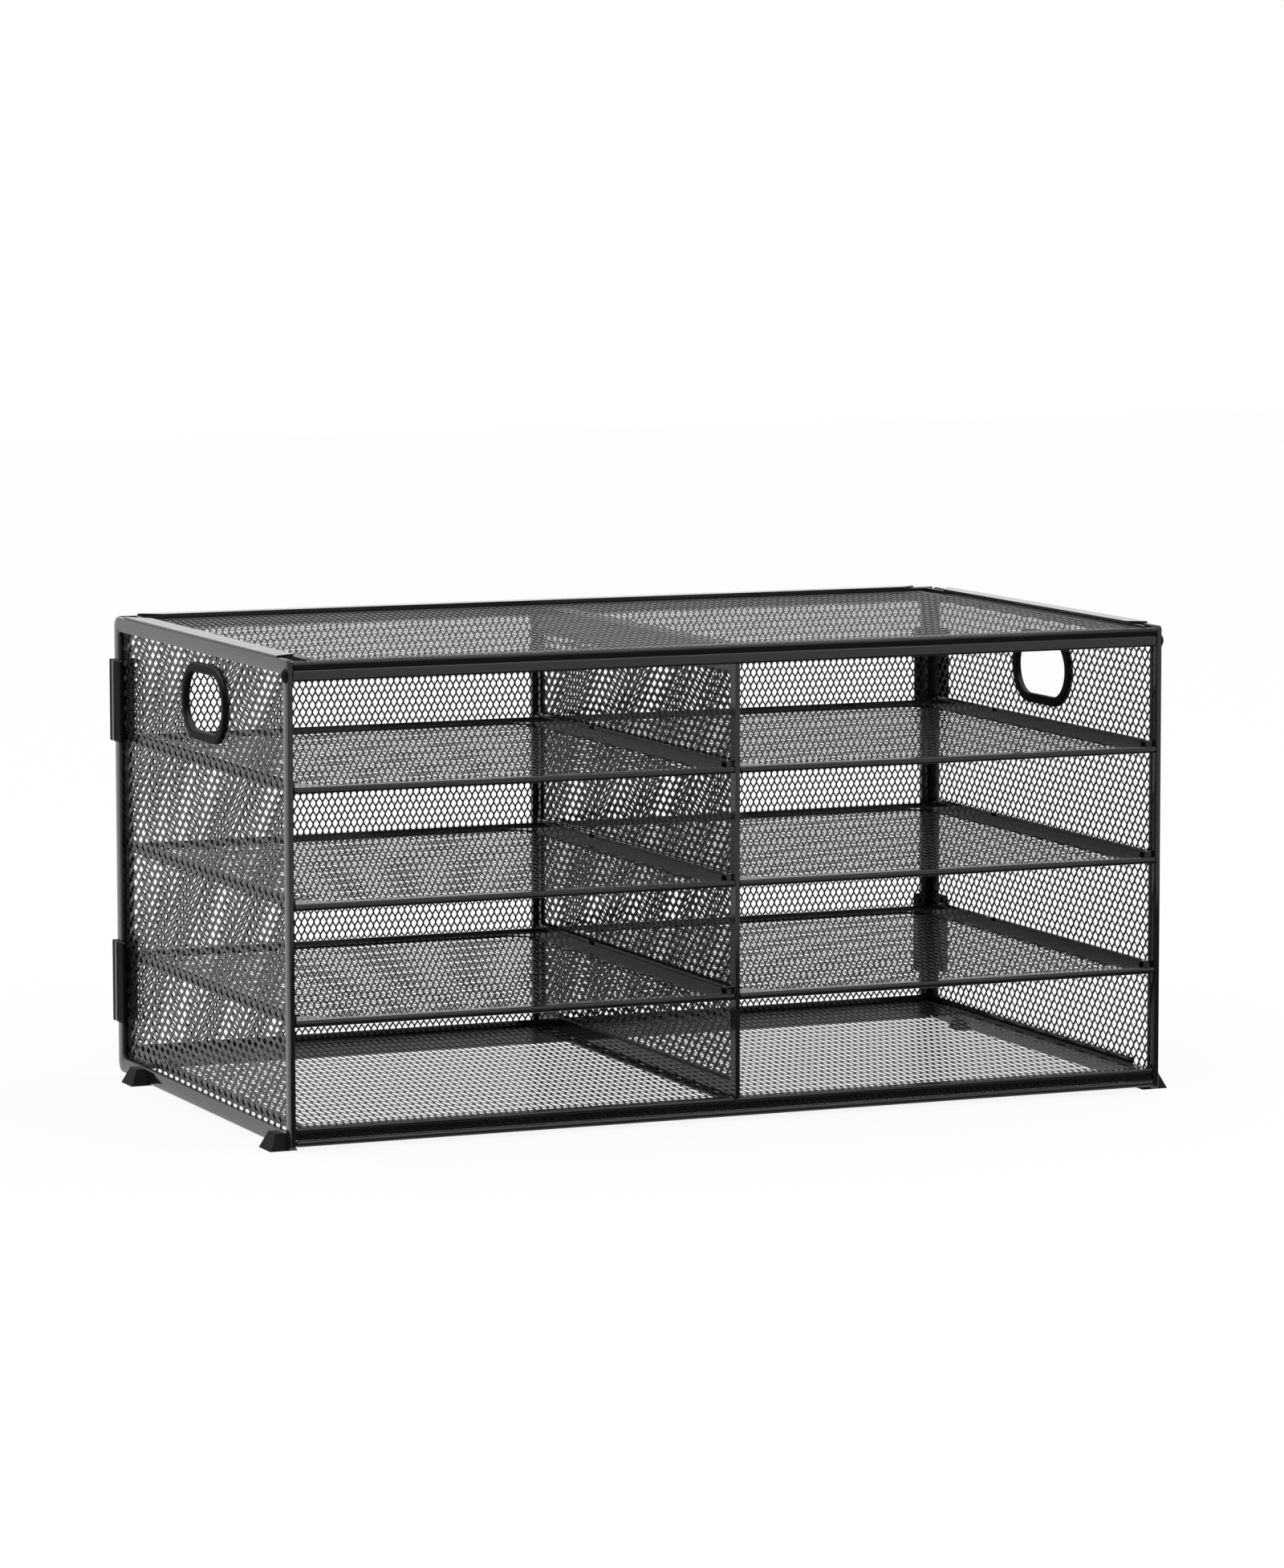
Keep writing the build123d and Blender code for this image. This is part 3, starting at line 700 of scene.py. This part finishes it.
def coated(name, colour, roughness, peel_scale, drift, depth, dust_and_sheen, specular):
    """A finish made of the sprayed coat, settled dust with a painted sheen on surfaces that face up, and a
    Principled shader.
    """
    finish = bpy.data.materials.get(name)
    if finish:
        return finish
    group = bpy.data.node_groups.get("sprayed_coat") or coat_group()
    dust_and_sheen_tree = bpy.data.node_groups.get("settled_dust_and_painted_sheen") or dust_and_sheen_group()
    finish = bpy.data.materials.new(name)
    finish.use_nodes = True
    tree = finish.node_tree
    shader = tree.nodes["Principled BSDF"]
    shader.inputs["Specular IOR Level"].default_value = specular
    where = value_node(tree, "ShaderNodeTexCoord", -700, 0)
    coat = value_node(tree, "ShaderNodeGroup", -480, 0, node_tree=group)
    coat.inputs["Colour"].default_value = (*colour, 1.0)
    coat.inputs["Roughness"].default_value = roughness
    coat.inputs["Peel scale"].default_value = peel_scale
    coat.inputs["Drift"].default_value = drift
    bump = value_node(tree, "ShaderNodeBump", -220, -200)
    bump.inputs["Distance"].default_value = depth
    bump.inputs["Strength"].default_value = 0.3
    # Dust and painted sheen: the mask lightens faces that look up towards the light
    dust_and_sheen_film = value_node(tree, "ShaderNodeGroup", -480, 300, node_tree=dust_and_sheen_tree)
    dust_and_sheen_film.inputs["Amount"].default_value = dust_and_sheen
    blend = value_node(tree, "ShaderNodeMix", -220, 200, data_type="RGBA")
    blend.inputs[MIX_SECOND].default_value = (*bpy.context.scene.sorter_finishes.dust_and_sheen, 1.0)
    tree.links.new(where.outputs["Object"], coat.inputs["Vector"])
    tree.links.new(where.outputs["Object"], dust_and_sheen_film.inputs["Vector"])
    tree.links.new(dust_and_sheen_film.outputs["Mask"], blend.inputs[MIX_SHARE])
    tree.links.new(coat.outputs["Colour"], blend.inputs[MIX_FIRST])
    tree.links.new(blend.outputs[MIX_RESULT], shader.inputs["Base Color"])
    tree.links.new(coat.outputs["Roughness"], shader.inputs["Roughness"])
    tree.links.new(coat.outputs["Height"], bump.inputs["Height"])
    tree.links.new(bump.outputs["Normal"], shader.inputs["Normal"])
    return finish


def steel_finish():
    """Satin black powder coat."""
    colour = bpy.context.scene.sorter_finishes.steel
    return coated(
        "powder_coat",
        colour,
        roughness=0.08,
        peel_scale=1100.0,
        drift=0.06,
        depth=0.003 * MM,
        dust_and_sheen=0.1,
        specular=0.38,
    )


def net_finish():
    """The same coat, a little duller on the narrow strands."""
    colour = bpy.context.scene.sorter_finishes.net
    return coated(
        "net_coat",
        colour,
        roughness=0.14,
        peel_scale=1500.0,
        drift=0.06,
        depth=0.002 * MM,
        dust_and_sheen=0.1,
        specular=0.14,
    )


def shaded_floor_net_finish():
    """The net coat on trays and shelves, dull: its lowered reflection is painted shade that stands for the
    tilt of real strands, which lie flat here.
    """
    colour = bpy.context.scene.sorter_finishes.net
    return coated(
        "shaded_floor_net_coat",
        colour,
        roughness=0.3,
        peel_scale=1500.0,
        drift=0.06,
        depth=0.002 * MM,
        dust_and_sheen=0.1,
        specular=0.06,
    )


def plastic_finish():
    """Moulded plastic with a fine matt grain."""
    colour = bpy.context.scene.sorter_finishes.plastic
    return coated(
        "moulded_plastic",
        colour,
        roughness=0.35,
        peel_scale=2200.0,
        drift=0.1,
        depth=0.006 * MM,
        # More dust and painted sheen than on the steel: it greys the outer faces of the feet, which lean up
        # towards the light
        dust_and_sheen=0.25,
        specular=0.012,
    )


def screw_finish():
    """Smooth black oxide."""
    colour = bpy.context.scene.sorter_finishes.screw
    return coated(
        "black_oxide",
        colour,
        roughness=0.3,
        peel_scale=700.0,
        drift=0.15,
        depth=0.006 * MM,
        dust_and_sheen=0.1,
        specular=0.03,
    )


FINISHES = {
    "satin_black_steel": steel_finish,
    "black_mesh": net_finish,
    "black_plastic": plastic_finish,
    "black_screw": screw_finish,
}


class SORTER_OT_finish_frame(Operator):
    """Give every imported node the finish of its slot"""

    bl_idname = "sorter.finish_frame"
    bl_label = "Finish the frame"

    def execute(self, context):
        for row in frame["record"]["subparts"]:
            node = frame["nodes"][row["node"]]
            node.data.materials.clear()
            node.data.materials.append(FINISHES[row["material_slot"]]())
        return {"FINISHED"}


class SORTER_OT_side_nets(Operator):
    """Weave the two side panels, each with a window for its handle"""

    bl_idname = "sorter.side_nets"
    bl_label = "Side nets"

    def execute(self, context):
        nets = context.scene.sorter_nets
        cells = ((nets.left_pitch, nets.side_open), (nets.right_pitch, nets.rear_open))
        for side, (pitch, gap_shares) in zip(SIDES, cells):
            node = f"{side}_side_mesh"
            net = net_for(node, f"{side}_side_net", pitch, nets.side_row, gap_shares, FACING_SIDE)
            cut_window(net, side)
            settle(net, "frame", [node], net_finish())
        return {"FINISHED"}


def cut_window(net, side):
    """Cut the slot-shaped window of a side net, out of sight under the bands of its handle ring."""
    low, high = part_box(f"{side}_handle_ring")
    lap = bpy.context.scene.sorter_bars.window_lap
    radius = (high.z - low.z) / 2 - lap
    straight = (high.y - low.y) / 2 - lap - radius
    centre = (low + high) / 2
    bpy.ops.object.select_all(action="DESELECT")
    depth = CUTTER_REACH * (high.x - low.x)
    bpy.ops.mesh.primitive_cylinder_add(vertices=WINDOW_SIDES, radius=radius, depth=depth)
    cutter = bpy.context.object
    for way, half in ((-1, lambda vertex: vertex.co.x < 0), (1, lambda vertex: vertex.co.x >= 0)):
        edit(cutter, half, "VERT")
        bpy.ops.transform.translate(value=(way * straight, 0.0, 0.0))
        leave()
    place(cutter, FACING_SIDE, centre)
    modify(net, "BOOLEAN", operation="DIFFERENCE", solver="EXACT", object=cutter)
    bpy.data.objects.remove(cutter)


class SORTER_OT_rear_nets(Operator):
    """Weave the rear panel as two halves that meet behind the centre upright"""

    bl_idname = "sorter.rear_nets"
    bl_label = "Rear nets"

    def execute(self, context):
        nets = context.scene.sorter_nets
        cells = (nets.rear_pitch, nets.rear_row, nets.rear_open)
        net = net_for("rear_mesh", "left_rear_net", *cells, FACING_REAR, share=2)
        low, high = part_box("rear_mesh")
        twin = copy_of(net, "right_rear_net", ((high.x - low.x) / 2, 0.0, 0.0))
        for piece in (net, twin):
            settle(piece, "frame", ["rear_mesh"], net_finish())
        return {"FINISHED"}


class SORTER_OT_divider_net(Operator):
    """Weave the panel between the two bays"""

    bl_idname = "sorter.divider_net"
    bl_label = "Divider net"

    def execute(self, context):
        nets = context.scene.sorter_nets
        cells = (nets.divider_pitch, nets.side_row, nets.side_open)
        net = net_for("divider_mesh", "divider_net", *cells, FACING_SIDE)
        settle(net, "frame", ["divider_mesh"], net_finish())
        return {"FINISHED"}


class SORTER_OT_tray_nets(Operator):
    """Weave the floors of the top and bottom trays"""

    bl_idname = "sorter.tray_nets"
    bl_label = "Tray nets"

    def execute(self, context):
        nets = context.scene.sorter_nets
        cells = (nets.floor_pitch, nets.floor_row, nets.floor_open)
        for tray in ("top", "bottom"):
            node = f"{tray}_tray_mesh"
            net = net_for(node, f"{tray}_tray_net", *cells, LYING)
            settle(net, "frame", [node], shaded_floor_net_finish())
        return {"FINISHED"}


class SORTER_OT_shelf_nets(Operator):
    """Weave one shelf floor and copy it to the other shelves"""

    bl_idname = "sorter.shelf_nets"
    bl_label = "Shelf nets"

    def execute(self, context):
        nets = context.scene.sorter_nets
        cells = (nets.floor_pitch, nets.floor_row, nets.floor_open)
        first = None
        for side in SIDES:
            for level in LEVELS:
                shelf = f"{side}_{level}_shelf"
                node = f"{shelf}_mesh"
                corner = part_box(node)[0]
                if first is None:
                    net = net_for(node, f"{shelf}_net", *cells, LYING)
                    first, start = net, corner
                else:
                    net = copy_of(first, f"{shelf}_net", corner - start)
                settle(net, shelf, [node], shaded_floor_net_finish())
        return {"FINISHED"}


class SORTER_OT_side_frames(Operator):
    """Bend the two side frames from flat bar with rounded edges"""

    bl_idname = "sorter.side_frames"
    bl_label = "Side frames"

    def execute(self, context):
        bars = context.scene.sorter_bars
        for side in SIDES:
            low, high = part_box(f"{side}_side_frame")
            size = high - low
            corners = [(-1, bars.front_corner), (1, bars.rear_corner)]
            outline = rounded_plate(f"{side}_bar_frame", size.y, size.z, corners)
            opening = rounded_plate(
                "opening",
                size.y - 2 * bars.bar_face,
                size.z - 2 * bars.bar_face,
                [(-1, bars.inner_corner), (1, bars.inner_corner)],
            )
            only(opening)
            outline.select_set(True)
            bpy.context.view_layer.objects.active = outline
            bpy.ops.object.join()
            edit(outline)
            bpy.ops.mesh.delete(type="ONLY_FACE")
            bpy.ops.mesh.select_mode(type="EDGE")
            bpy.ops.mesh.select_all(action="SELECT")
            bpy.ops.mesh.bridge_edge_loops()
            bpy.ops.mesh.select_all(action="SELECT")
            bpy.ops.mesh.normals_make_consistent(inside=False)
            leave()
            modify(outline, "SOLIDIFY", thickness=size.x, offset=0.0)
            place(outline, FACING_SIDE, (low + high) / 2)
            soften(outline, bars.bar_round)
            settle(outline, "frame", [f"{side}_side_frame"], steel_finish())
        return {"FINISHED"}


def rounded_plate(name, length, height, corners):
    """A flat plate about the origin; corners gives a radius for the low and the high end of its length."""
    bpy.ops.object.select_all(action="DESELECT")
    bpy.ops.mesh.primitive_plane_add(size=1.0)
    plate = bpy.context.object
    plate.name = name
    edit(plate)
    bpy.ops.transform.resize(value=(length, height, 1.0))
    leave()
    for way, radius in corners:
        edit(plate, lambda vertex: vertex.co.x * way > length / 2 - radius / 2, "VERT")
        bpy.ops.mesh.bevel(offset=radius, affect="VERTICES", segments=CORNER_STEPS)
        leave()
    return plate


class SORTER_OT_front_rails(Operator):
    """Fold the front rails: the top one with a hollow along its face, the bottom one with beads and slots"""

    bl_idname = "sorter.front_rails"
    bl_label = "Front rails"

    def execute(self, context):
        bars = context.scene.sorter_bars
        fold_top_rail(bars)
        fold_bottom_rail(bars)
        return {"FINISHED"}


def fold_top_rail(bars):
    """Front top rail with a shallow hollow along its face, and a dark strip between it and the tray that
    paints the shade in the groove there.
    """
    low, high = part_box("front_top_rail")
    rail = block("top_rail", low, high)
    fold = low.z + bars.rail_fold
    split(rail, fold)
    hollow = bars.rail_hollow
    edit(rail, lambda vertex: vertex.co.y < low.y + hollow and abs(vertex.co.z - fold) < hollow, "VERT")
    bpy.ops.transform.translate(value=(0.0, hollow, 0.0))
    leave()
    soften(rail, bars.rail_round, BEAD_STEPS)
    settle(rail, "frame", ["front_top_rail"], steel_finish())

    # Painted shade: a black plastic strip that stands for the shade in the groove above the rail
    painted_shade_strip_low = Vector((low.x, low.y + bars.painted_shade_strip_front, high.z))
    painted_shade_strip_high = Vector((high.x, painted_shade_strip_low.y + bars.painted_shade_strip_depth, high.z + bars.painted_shade_strip_height))
    painted_shade_strip = block("tray_painted_shade_strip", painted_shade_strip_low, painted_shade_strip_high)
    soften(painted_shade_strip, bars.painted_shade_strip_round)
    settle(painted_shade_strip, "frame", [], plastic_finish())


def fold_bottom_rail(bars):
    """Front bottom rail: two round beads, and a strip of blind slots between them."""
    low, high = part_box("front_bottom_rail")
    strip_low = low.z + bars.lower_bead
    strip_high = high.z - bars.upper_bead
    bead_front = low.y + bars.bead_setback
    lower = block("bottom_rail_lower_bead", low, Vector((high.x, high.y, strip_low)))
    upper = block("bottom_rail_upper_bead", Vector((low.x, bead_front, strip_high)), high)
    for bead, rounding in ((lower, bars.lower_round), (upper, bars.upper_round)):
        soften(bead, rounding, BEAD_STEPS)
        settle(bead, "frame", ["front_bottom_rail"], steel_finish())

    pitch = (high.x - low.x) / bars.slots
    face_y = low.y + bars.strip_setback
    corner = Vector((low.x, face_y, strip_low))
    cell = block("bottom_rail_slots", corner, Vector((low.x + pitch, high.y, strip_high)))
    edit(cell, lambda face: face.normal.y < -FACING)
    bpy.ops.mesh.inset(thickness=bars.slot_border)
    bpy.ops.mesh.extrude_region_move(TRANSFORM_OT_translate={"value": (0.0, bars.slot_depth, 0.0)})
    leave()

    # The two ends of a cell meet its neighbours, so they go, but the walls of its slot stay
    def cell_end(face):
        outside = abs(face.center.x - low.x - pitch / 2) > pitch / 3
        return outside and abs(face.normal.x) > FACING and face.center.y > face_y + bars.slot_depth / 2

    edit(cell, cell_end)
    bpy.ops.mesh.delete(type="FACE")
    leave()
    modify(
        cell,
        "ARRAY",
        count=bars.slots,
        use_relative_offset=False,
        use_constant_offset=True,
        constant_offset_displace=(pitch, 0.0, 0.0),
        use_merge_vertices=True,
        merge_threshold=NEAR * pitch,
    )
    edit(cell)
    bpy.ops.mesh.fill_holes(sides=0)
    leave()
    settle(cell, "frame", ["front_bottom_rail"], steel_finish())


class SORTER_OT_shelf_lips(Operator):
    """Roll a round cover along the front lip of each shelf"""

    bl_idname = "sorter.shelf_lips"
    bl_label = "Shelf lips"

    def execute(self, context):
        bars = context.scene.sorter_bars
        first = None
        for side in SIDES:
            for level in LEVELS:
                shelf = f"{side}_{level}_shelf"
                low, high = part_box(f"{shelf}_rim")
                if first is None:
                    lip = roll_lip(f"{shelf}_lip", low, high, bars)
                    first, start = lip, low
                else:
                    lip = copy_of(first, f"{shelf}_lip", low - start)
                settle(lip, shelf, [], steel_finish())
        return {"FINISHED"}


def roll_lip(name, low, high, bars):
    """Cover of one lip: a strip just ahead of it, rolled round its front edges."""
    relief = Vector((0.0, bars.lip_relief, bars.lip_relief))
    front = low - relief
    top = low.z + bars.lip_height + bars.lip_relief
    lip = block(name, front, Vector((high.x, front.y + bars.lip_cover, top)))
    edit(lip, lambda vertex: vertex.co.y < low.y, "VERT")
    bpy.ops.mesh.bevel(offset=bars.lip_round, affect="EDGES", segments=CORNER_STEPS)
    leave()
    only(lip)
    bpy.ops.object.shade_smooth_by_angle(angle=SMOOTH)
    return lip


class SORTER_OT_rear_clips(Operator):
    """Mould the rear corner clips, each with a steel pin along its side that paints a highlight line"""

    bl_idname = "sorter.rear_clips"
    bl_label = "Rear clips"

    def execute(self, context):
        bars = context.scene.sorter_bars
        for side in SIDES:
            way = -1 if side == "left" else 1
            for corner in CORNERS:
                clip = f"{side}_{corner}_rear_clip"
                mould_clip(clip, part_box(clip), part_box(f"{side}_side_frame"), way, bars)
        return {"FINISHED"}


def mould_clip(name, clip_box, frame_box, way, bars):
    """One clip: a side plate, a web folded inward behind the frame, and a steel pin along the plate that
    paints a highlight line.
    """
    low, high = clip_box
    outer = low.x if way < 0 else high.x
    inner = high.x if way < 0 else low.x
    seat = frame_box[0].x if way < 0 else frame_box[1].x
    rear = frame_box[1].y
    plate_low = Vector((min(outer, seat), low.y, low.z))
    plate_high = Vector((max(outer, seat), high.y, high.z))
    clip = block(f"{name}_mould", plate_low, plate_high)
    edit(clip)
    bpy.ops.mesh.bisect(plane_co=(0.0, rear, 0.0), plane_no=(0.0, 1.0, 0.0))
    leave()
    reach = Vector((inner - seat, 0.0, 0.0))
    push(clip, lambda face: face.normal.x * way < -FACING and face.center.y > rear, reach)
    soften(clip, bars.clip_round)
    settle(clip, "frame", [name], plastic_finish())

    # Painted highlight: the steel pin shows as a light line along the black clip
    highlight_pin_outer = outer + way * bars.highlight_pin_relief
    highlight_pin_rear = high.y - bars.highlight_pin_setback
    highlight_pin_low = Vector((min(highlight_pin_outer, seat), highlight_pin_rear - bars.highlight_pin_width, low.z + bars.clip_round))
    highlight_pin_high = Vector((max(highlight_pin_outer, seat), highlight_pin_rear, high.z - bars.clip_round))
    highlight_pin = block(f"{name}_pin", highlight_pin_low, highlight_pin_high)
    soften(highlight_pin, bars.clip_round)
    settle(highlight_pin, "frame", [], steel_finish())


class SORTER_OT_stage(Operator):
    """Set the floor, the light and the camera"""

    bl_idname = "sorter.stage"
    bl_label = "Stage"

    def execute(self, context):
        stage = context.scene.sorter_stage
        bpy.ops.object.select_all(action="DESELECT")
        bpy.ops.mesh.primitive_plane_add(size=FLOOR_SPAN, location=(0.0, 0.0, 0.0))
        floor = context.object
        floor.name = "floor"
        floor.data.materials.append(floor_finish(stage))
        # Painted shade: a dark sheet that only reflections see, in place of the object's shadow on the floor
        # in front
        bpy.ops.mesh.primitive_plane_add(size=1.0, location=stage.painted_shade_sheet_place)
        flag = context.object
        flag.name = "flag"
        flag.scale = (*stage.painted_shade_sheet_size, 1.0)
        flag.visible_camera = False
        flag.visible_shadow = False
        flag.visible_diffuse = False
        flag.data.materials.append(painted_shade_sheet_finish(stage))
        light_world(stage)
        for name, power, spot, size in (
            ("key_lamp", stage.key, stage.key_place, stage.key_size),
            ("rim_lamp", stage.rim, stage.rim_place, stage.rim_size),
            ("strip_lamp", stage.strip, stage.strip_place, stage.strip_size),
        ):
            bpy.ops.object.light_add(type="AREA", location=spot)
            lamp = context.object
            lamp.name = name
            lamp.data.energy = power
            lamp.data.shape = "RECTANGLE"
            lamp.data.size = size[0]
            lamp.data.size_y = size[1]
            aim = Vector(stage.aim) - Vector(spot)
            lamp.rotation_euler = aim.to_track_quat("-Z", "Y").to_euler()
        bpy.ops.object.camera_add(location=stage.camera_place)
        camera = context.object
        camera.rotation_euler = (math.pi / 2 - stage.camera_pitch, stage.camera_roll, -stage.camera_yaw)
        camera.data.sensor_fit = "VERTICAL"
        camera.data.sensor_height = FILM_HEIGHT
        camera.data.lens = stage.lens
        camera.data.clip_end = FAR_CLIP
        context.scene.camera = camera
        context.scene.view_settings.view_transform = "Standard"
        return {"FINISHED"}


def seen_rays(tree):
    """Mask of the rays that show a background: camera, glossy and transmission rays."""
    path = value_node(tree, "ShaderNodeLightPath", -700, 200)
    either = value_node(tree, "ShaderNodeMath", -500, 200, operation="MAXIMUM")
    every = value_node(tree, "ShaderNodeMath", -320, 200, operation="MAXIMUM")
    tree.links.new(path.outputs["Is Camera Ray"], either.inputs[0])
    tree.links.new(path.outputs["Is Glossy Ray"], either.inputs[1])
    tree.links.new(either.outputs[0], every.inputs[0])
    tree.links.new(path.outputs["Is Transmission Ray"], every.inputs[1])
    return every.outputs[0]


def floor_finish(stage):
    """Pale floor that keeps the shadow and shows as near white."""
    finish = bpy.data.materials.new("pale_floor")
    finish.use_nodes = True
    tree = finish.node_tree
    shader = tree.nodes["Principled BSDF"]
    shader.inputs["Base Color"].default_value = (*stage.floor, 1.0)
    shader.inputs["Roughness"].default_value = 0.9
    shader.inputs["Specular IOR Level"].default_value = 0.0
    glow = value_node(tree, "ShaderNodeEmission", 0, 300)
    share = value_node(tree, "ShaderNodeMath", -100, 450, operation="MULTIPLY")
    share.inputs[1].default_value = stage.floor_glow
    mix = value_node(tree, "ShaderNodeMixShader", 300, 200)
    tree.links.new(seen_rays(tree), share.inputs[0])
    tree.links.new(share.outputs[0], mix.inputs["Fac"])
    tree.links.new(shader.outputs[0], mix.inputs[1])
    tree.links.new(glow.outputs[0], mix.inputs[2])
    tree.links.new(mix.outputs[0], tree.nodes["Material Output"].inputs["Surface"])
    return finish


def painted_shade_sheet_finish(stage):
    """Dull black cloth for the sheet of painted shade in front."""
    finish = bpy.data.materials.new("painted_shade_cloth")
    finish.use_nodes = True
    tree = finish.node_tree
    shader = tree.nodes["Principled BSDF"]
    shader.inputs["Base Color"].default_value = (*stage.flag, 1.0)
    shader.inputs["Roughness"].default_value = 1.0
    shader.inputs["Specular IOR Level"].default_value = 0.0
    return finish


def light_world(stage):
    """Even light from all round, with plain white where the background shows."""
    world = bpy.data.worlds.new("studio")
    bpy.context.scene.world = world
    world.use_nodes = True
    tree = world.node_tree
    soft = tree.nodes["Background"]
    soft.inputs["Color"].default_value = WHITE
    soft.inputs["Strength"].default_value = stage.fill
    white = value_node(tree, "ShaderNodeBackground", 0, -200)
    white.inputs["Color"].default_value = WHITE
    mix = value_node(tree, "ShaderNodeMixShader", 250, 0)
    tree.links.new(seen_rays(tree), mix.inputs["Fac"])
    tree.links.new(soft.outputs[0], mix.inputs[1])
    tree.links.new(white.outputs[0], mix.inputs[2])
    tree.links.new(mix.outputs[0], tree.nodes["World Output"].inputs["Surface"])


class VIEW3D_PT_sorter(Panel):
    """Buttons and values for the sorter"""

    bl_label = "Mesh File Sorter"
    bl_idname = "VIEW3D_PT_sorter"
    bl_space_type = "VIEW_3D"
    bl_region_type = "UI"
    bl_category = "Sorter"

    def draw(self, context):
        for operator in OPERATORS:
            self.layout.operator(operator.bl_idname)
        scene = context.scene
        for group in (scene.sorter_nets, scene.sorter_bars, scene.sorter_finishes, scene.sorter_stage):
            box = self.layout.box()
            for name in group.bl_rna.properties.keys():
                if name not in ("rna_type", "name"):
                    box.prop(group, name)


OPERATORS = (
    SORTER_OT_finish_frame,
    SORTER_OT_side_nets,
    SORTER_OT_rear_nets,
    SORTER_OT_divider_net,
    SORTER_OT_tray_nets,
    SORTER_OT_shelf_nets,
    SORTER_OT_side_frames,
    SORTER_OT_front_rails,
    SORTER_OT_shelf_lips,
    SORTER_OT_rear_clips,
    SORTER_OT_stage,
)
GROUPS = (SorterNets, SorterBars, SorterFinishes, SorterStage)


def register():
    """Add the classes and the values of the sorter to Blender."""
    for item in (*GROUPS, *OPERATORS, VIEW3D_PT_sorter):
        bpy.utils.register_class(item)
    bpy.types.Scene.sorter_nets = PointerProperty(type=SorterNets)
    bpy.types.Scene.sorter_bars = PointerProperty(type=SorterBars)
    bpy.types.Scene.sorter_finishes = PointerProperty(type=SorterFinishes)
    bpy.types.Scene.sorter_stage = PointerProperty(type=SorterStage)


def unregister():
    """Take them out again."""
    del bpy.types.Scene.sorter_stage
    del bpy.types.Scene.sorter_finishes
    del bpy.types.Scene.sorter_bars
    del bpy.types.Scene.sorter_nets
    for item in reversed((*GROUPS, *OPERATORS, VIEW3D_PT_sorter)):
        bpy.utils.unregister_class(item)


def main():
    """Build the sorter."""
    register()
    bpy.ops.sorter.finish_frame()
    bpy.ops.sorter.side_nets()
    bpy.ops.sorter.rear_nets()
    bpy.ops.sorter.divider_net()
    bpy.ops.sorter.tray_nets()
    bpy.ops.sorter.shelf_nets()
    bpy.ops.sorter.side_frames()
    bpy.ops.sorter.front_rails()
    bpy.ops.sorter.shelf_lips()
    bpy.ops.sorter.rear_clips()
    bpy.ops.sorter.stage()


if __name__ == "__main__":
    main()
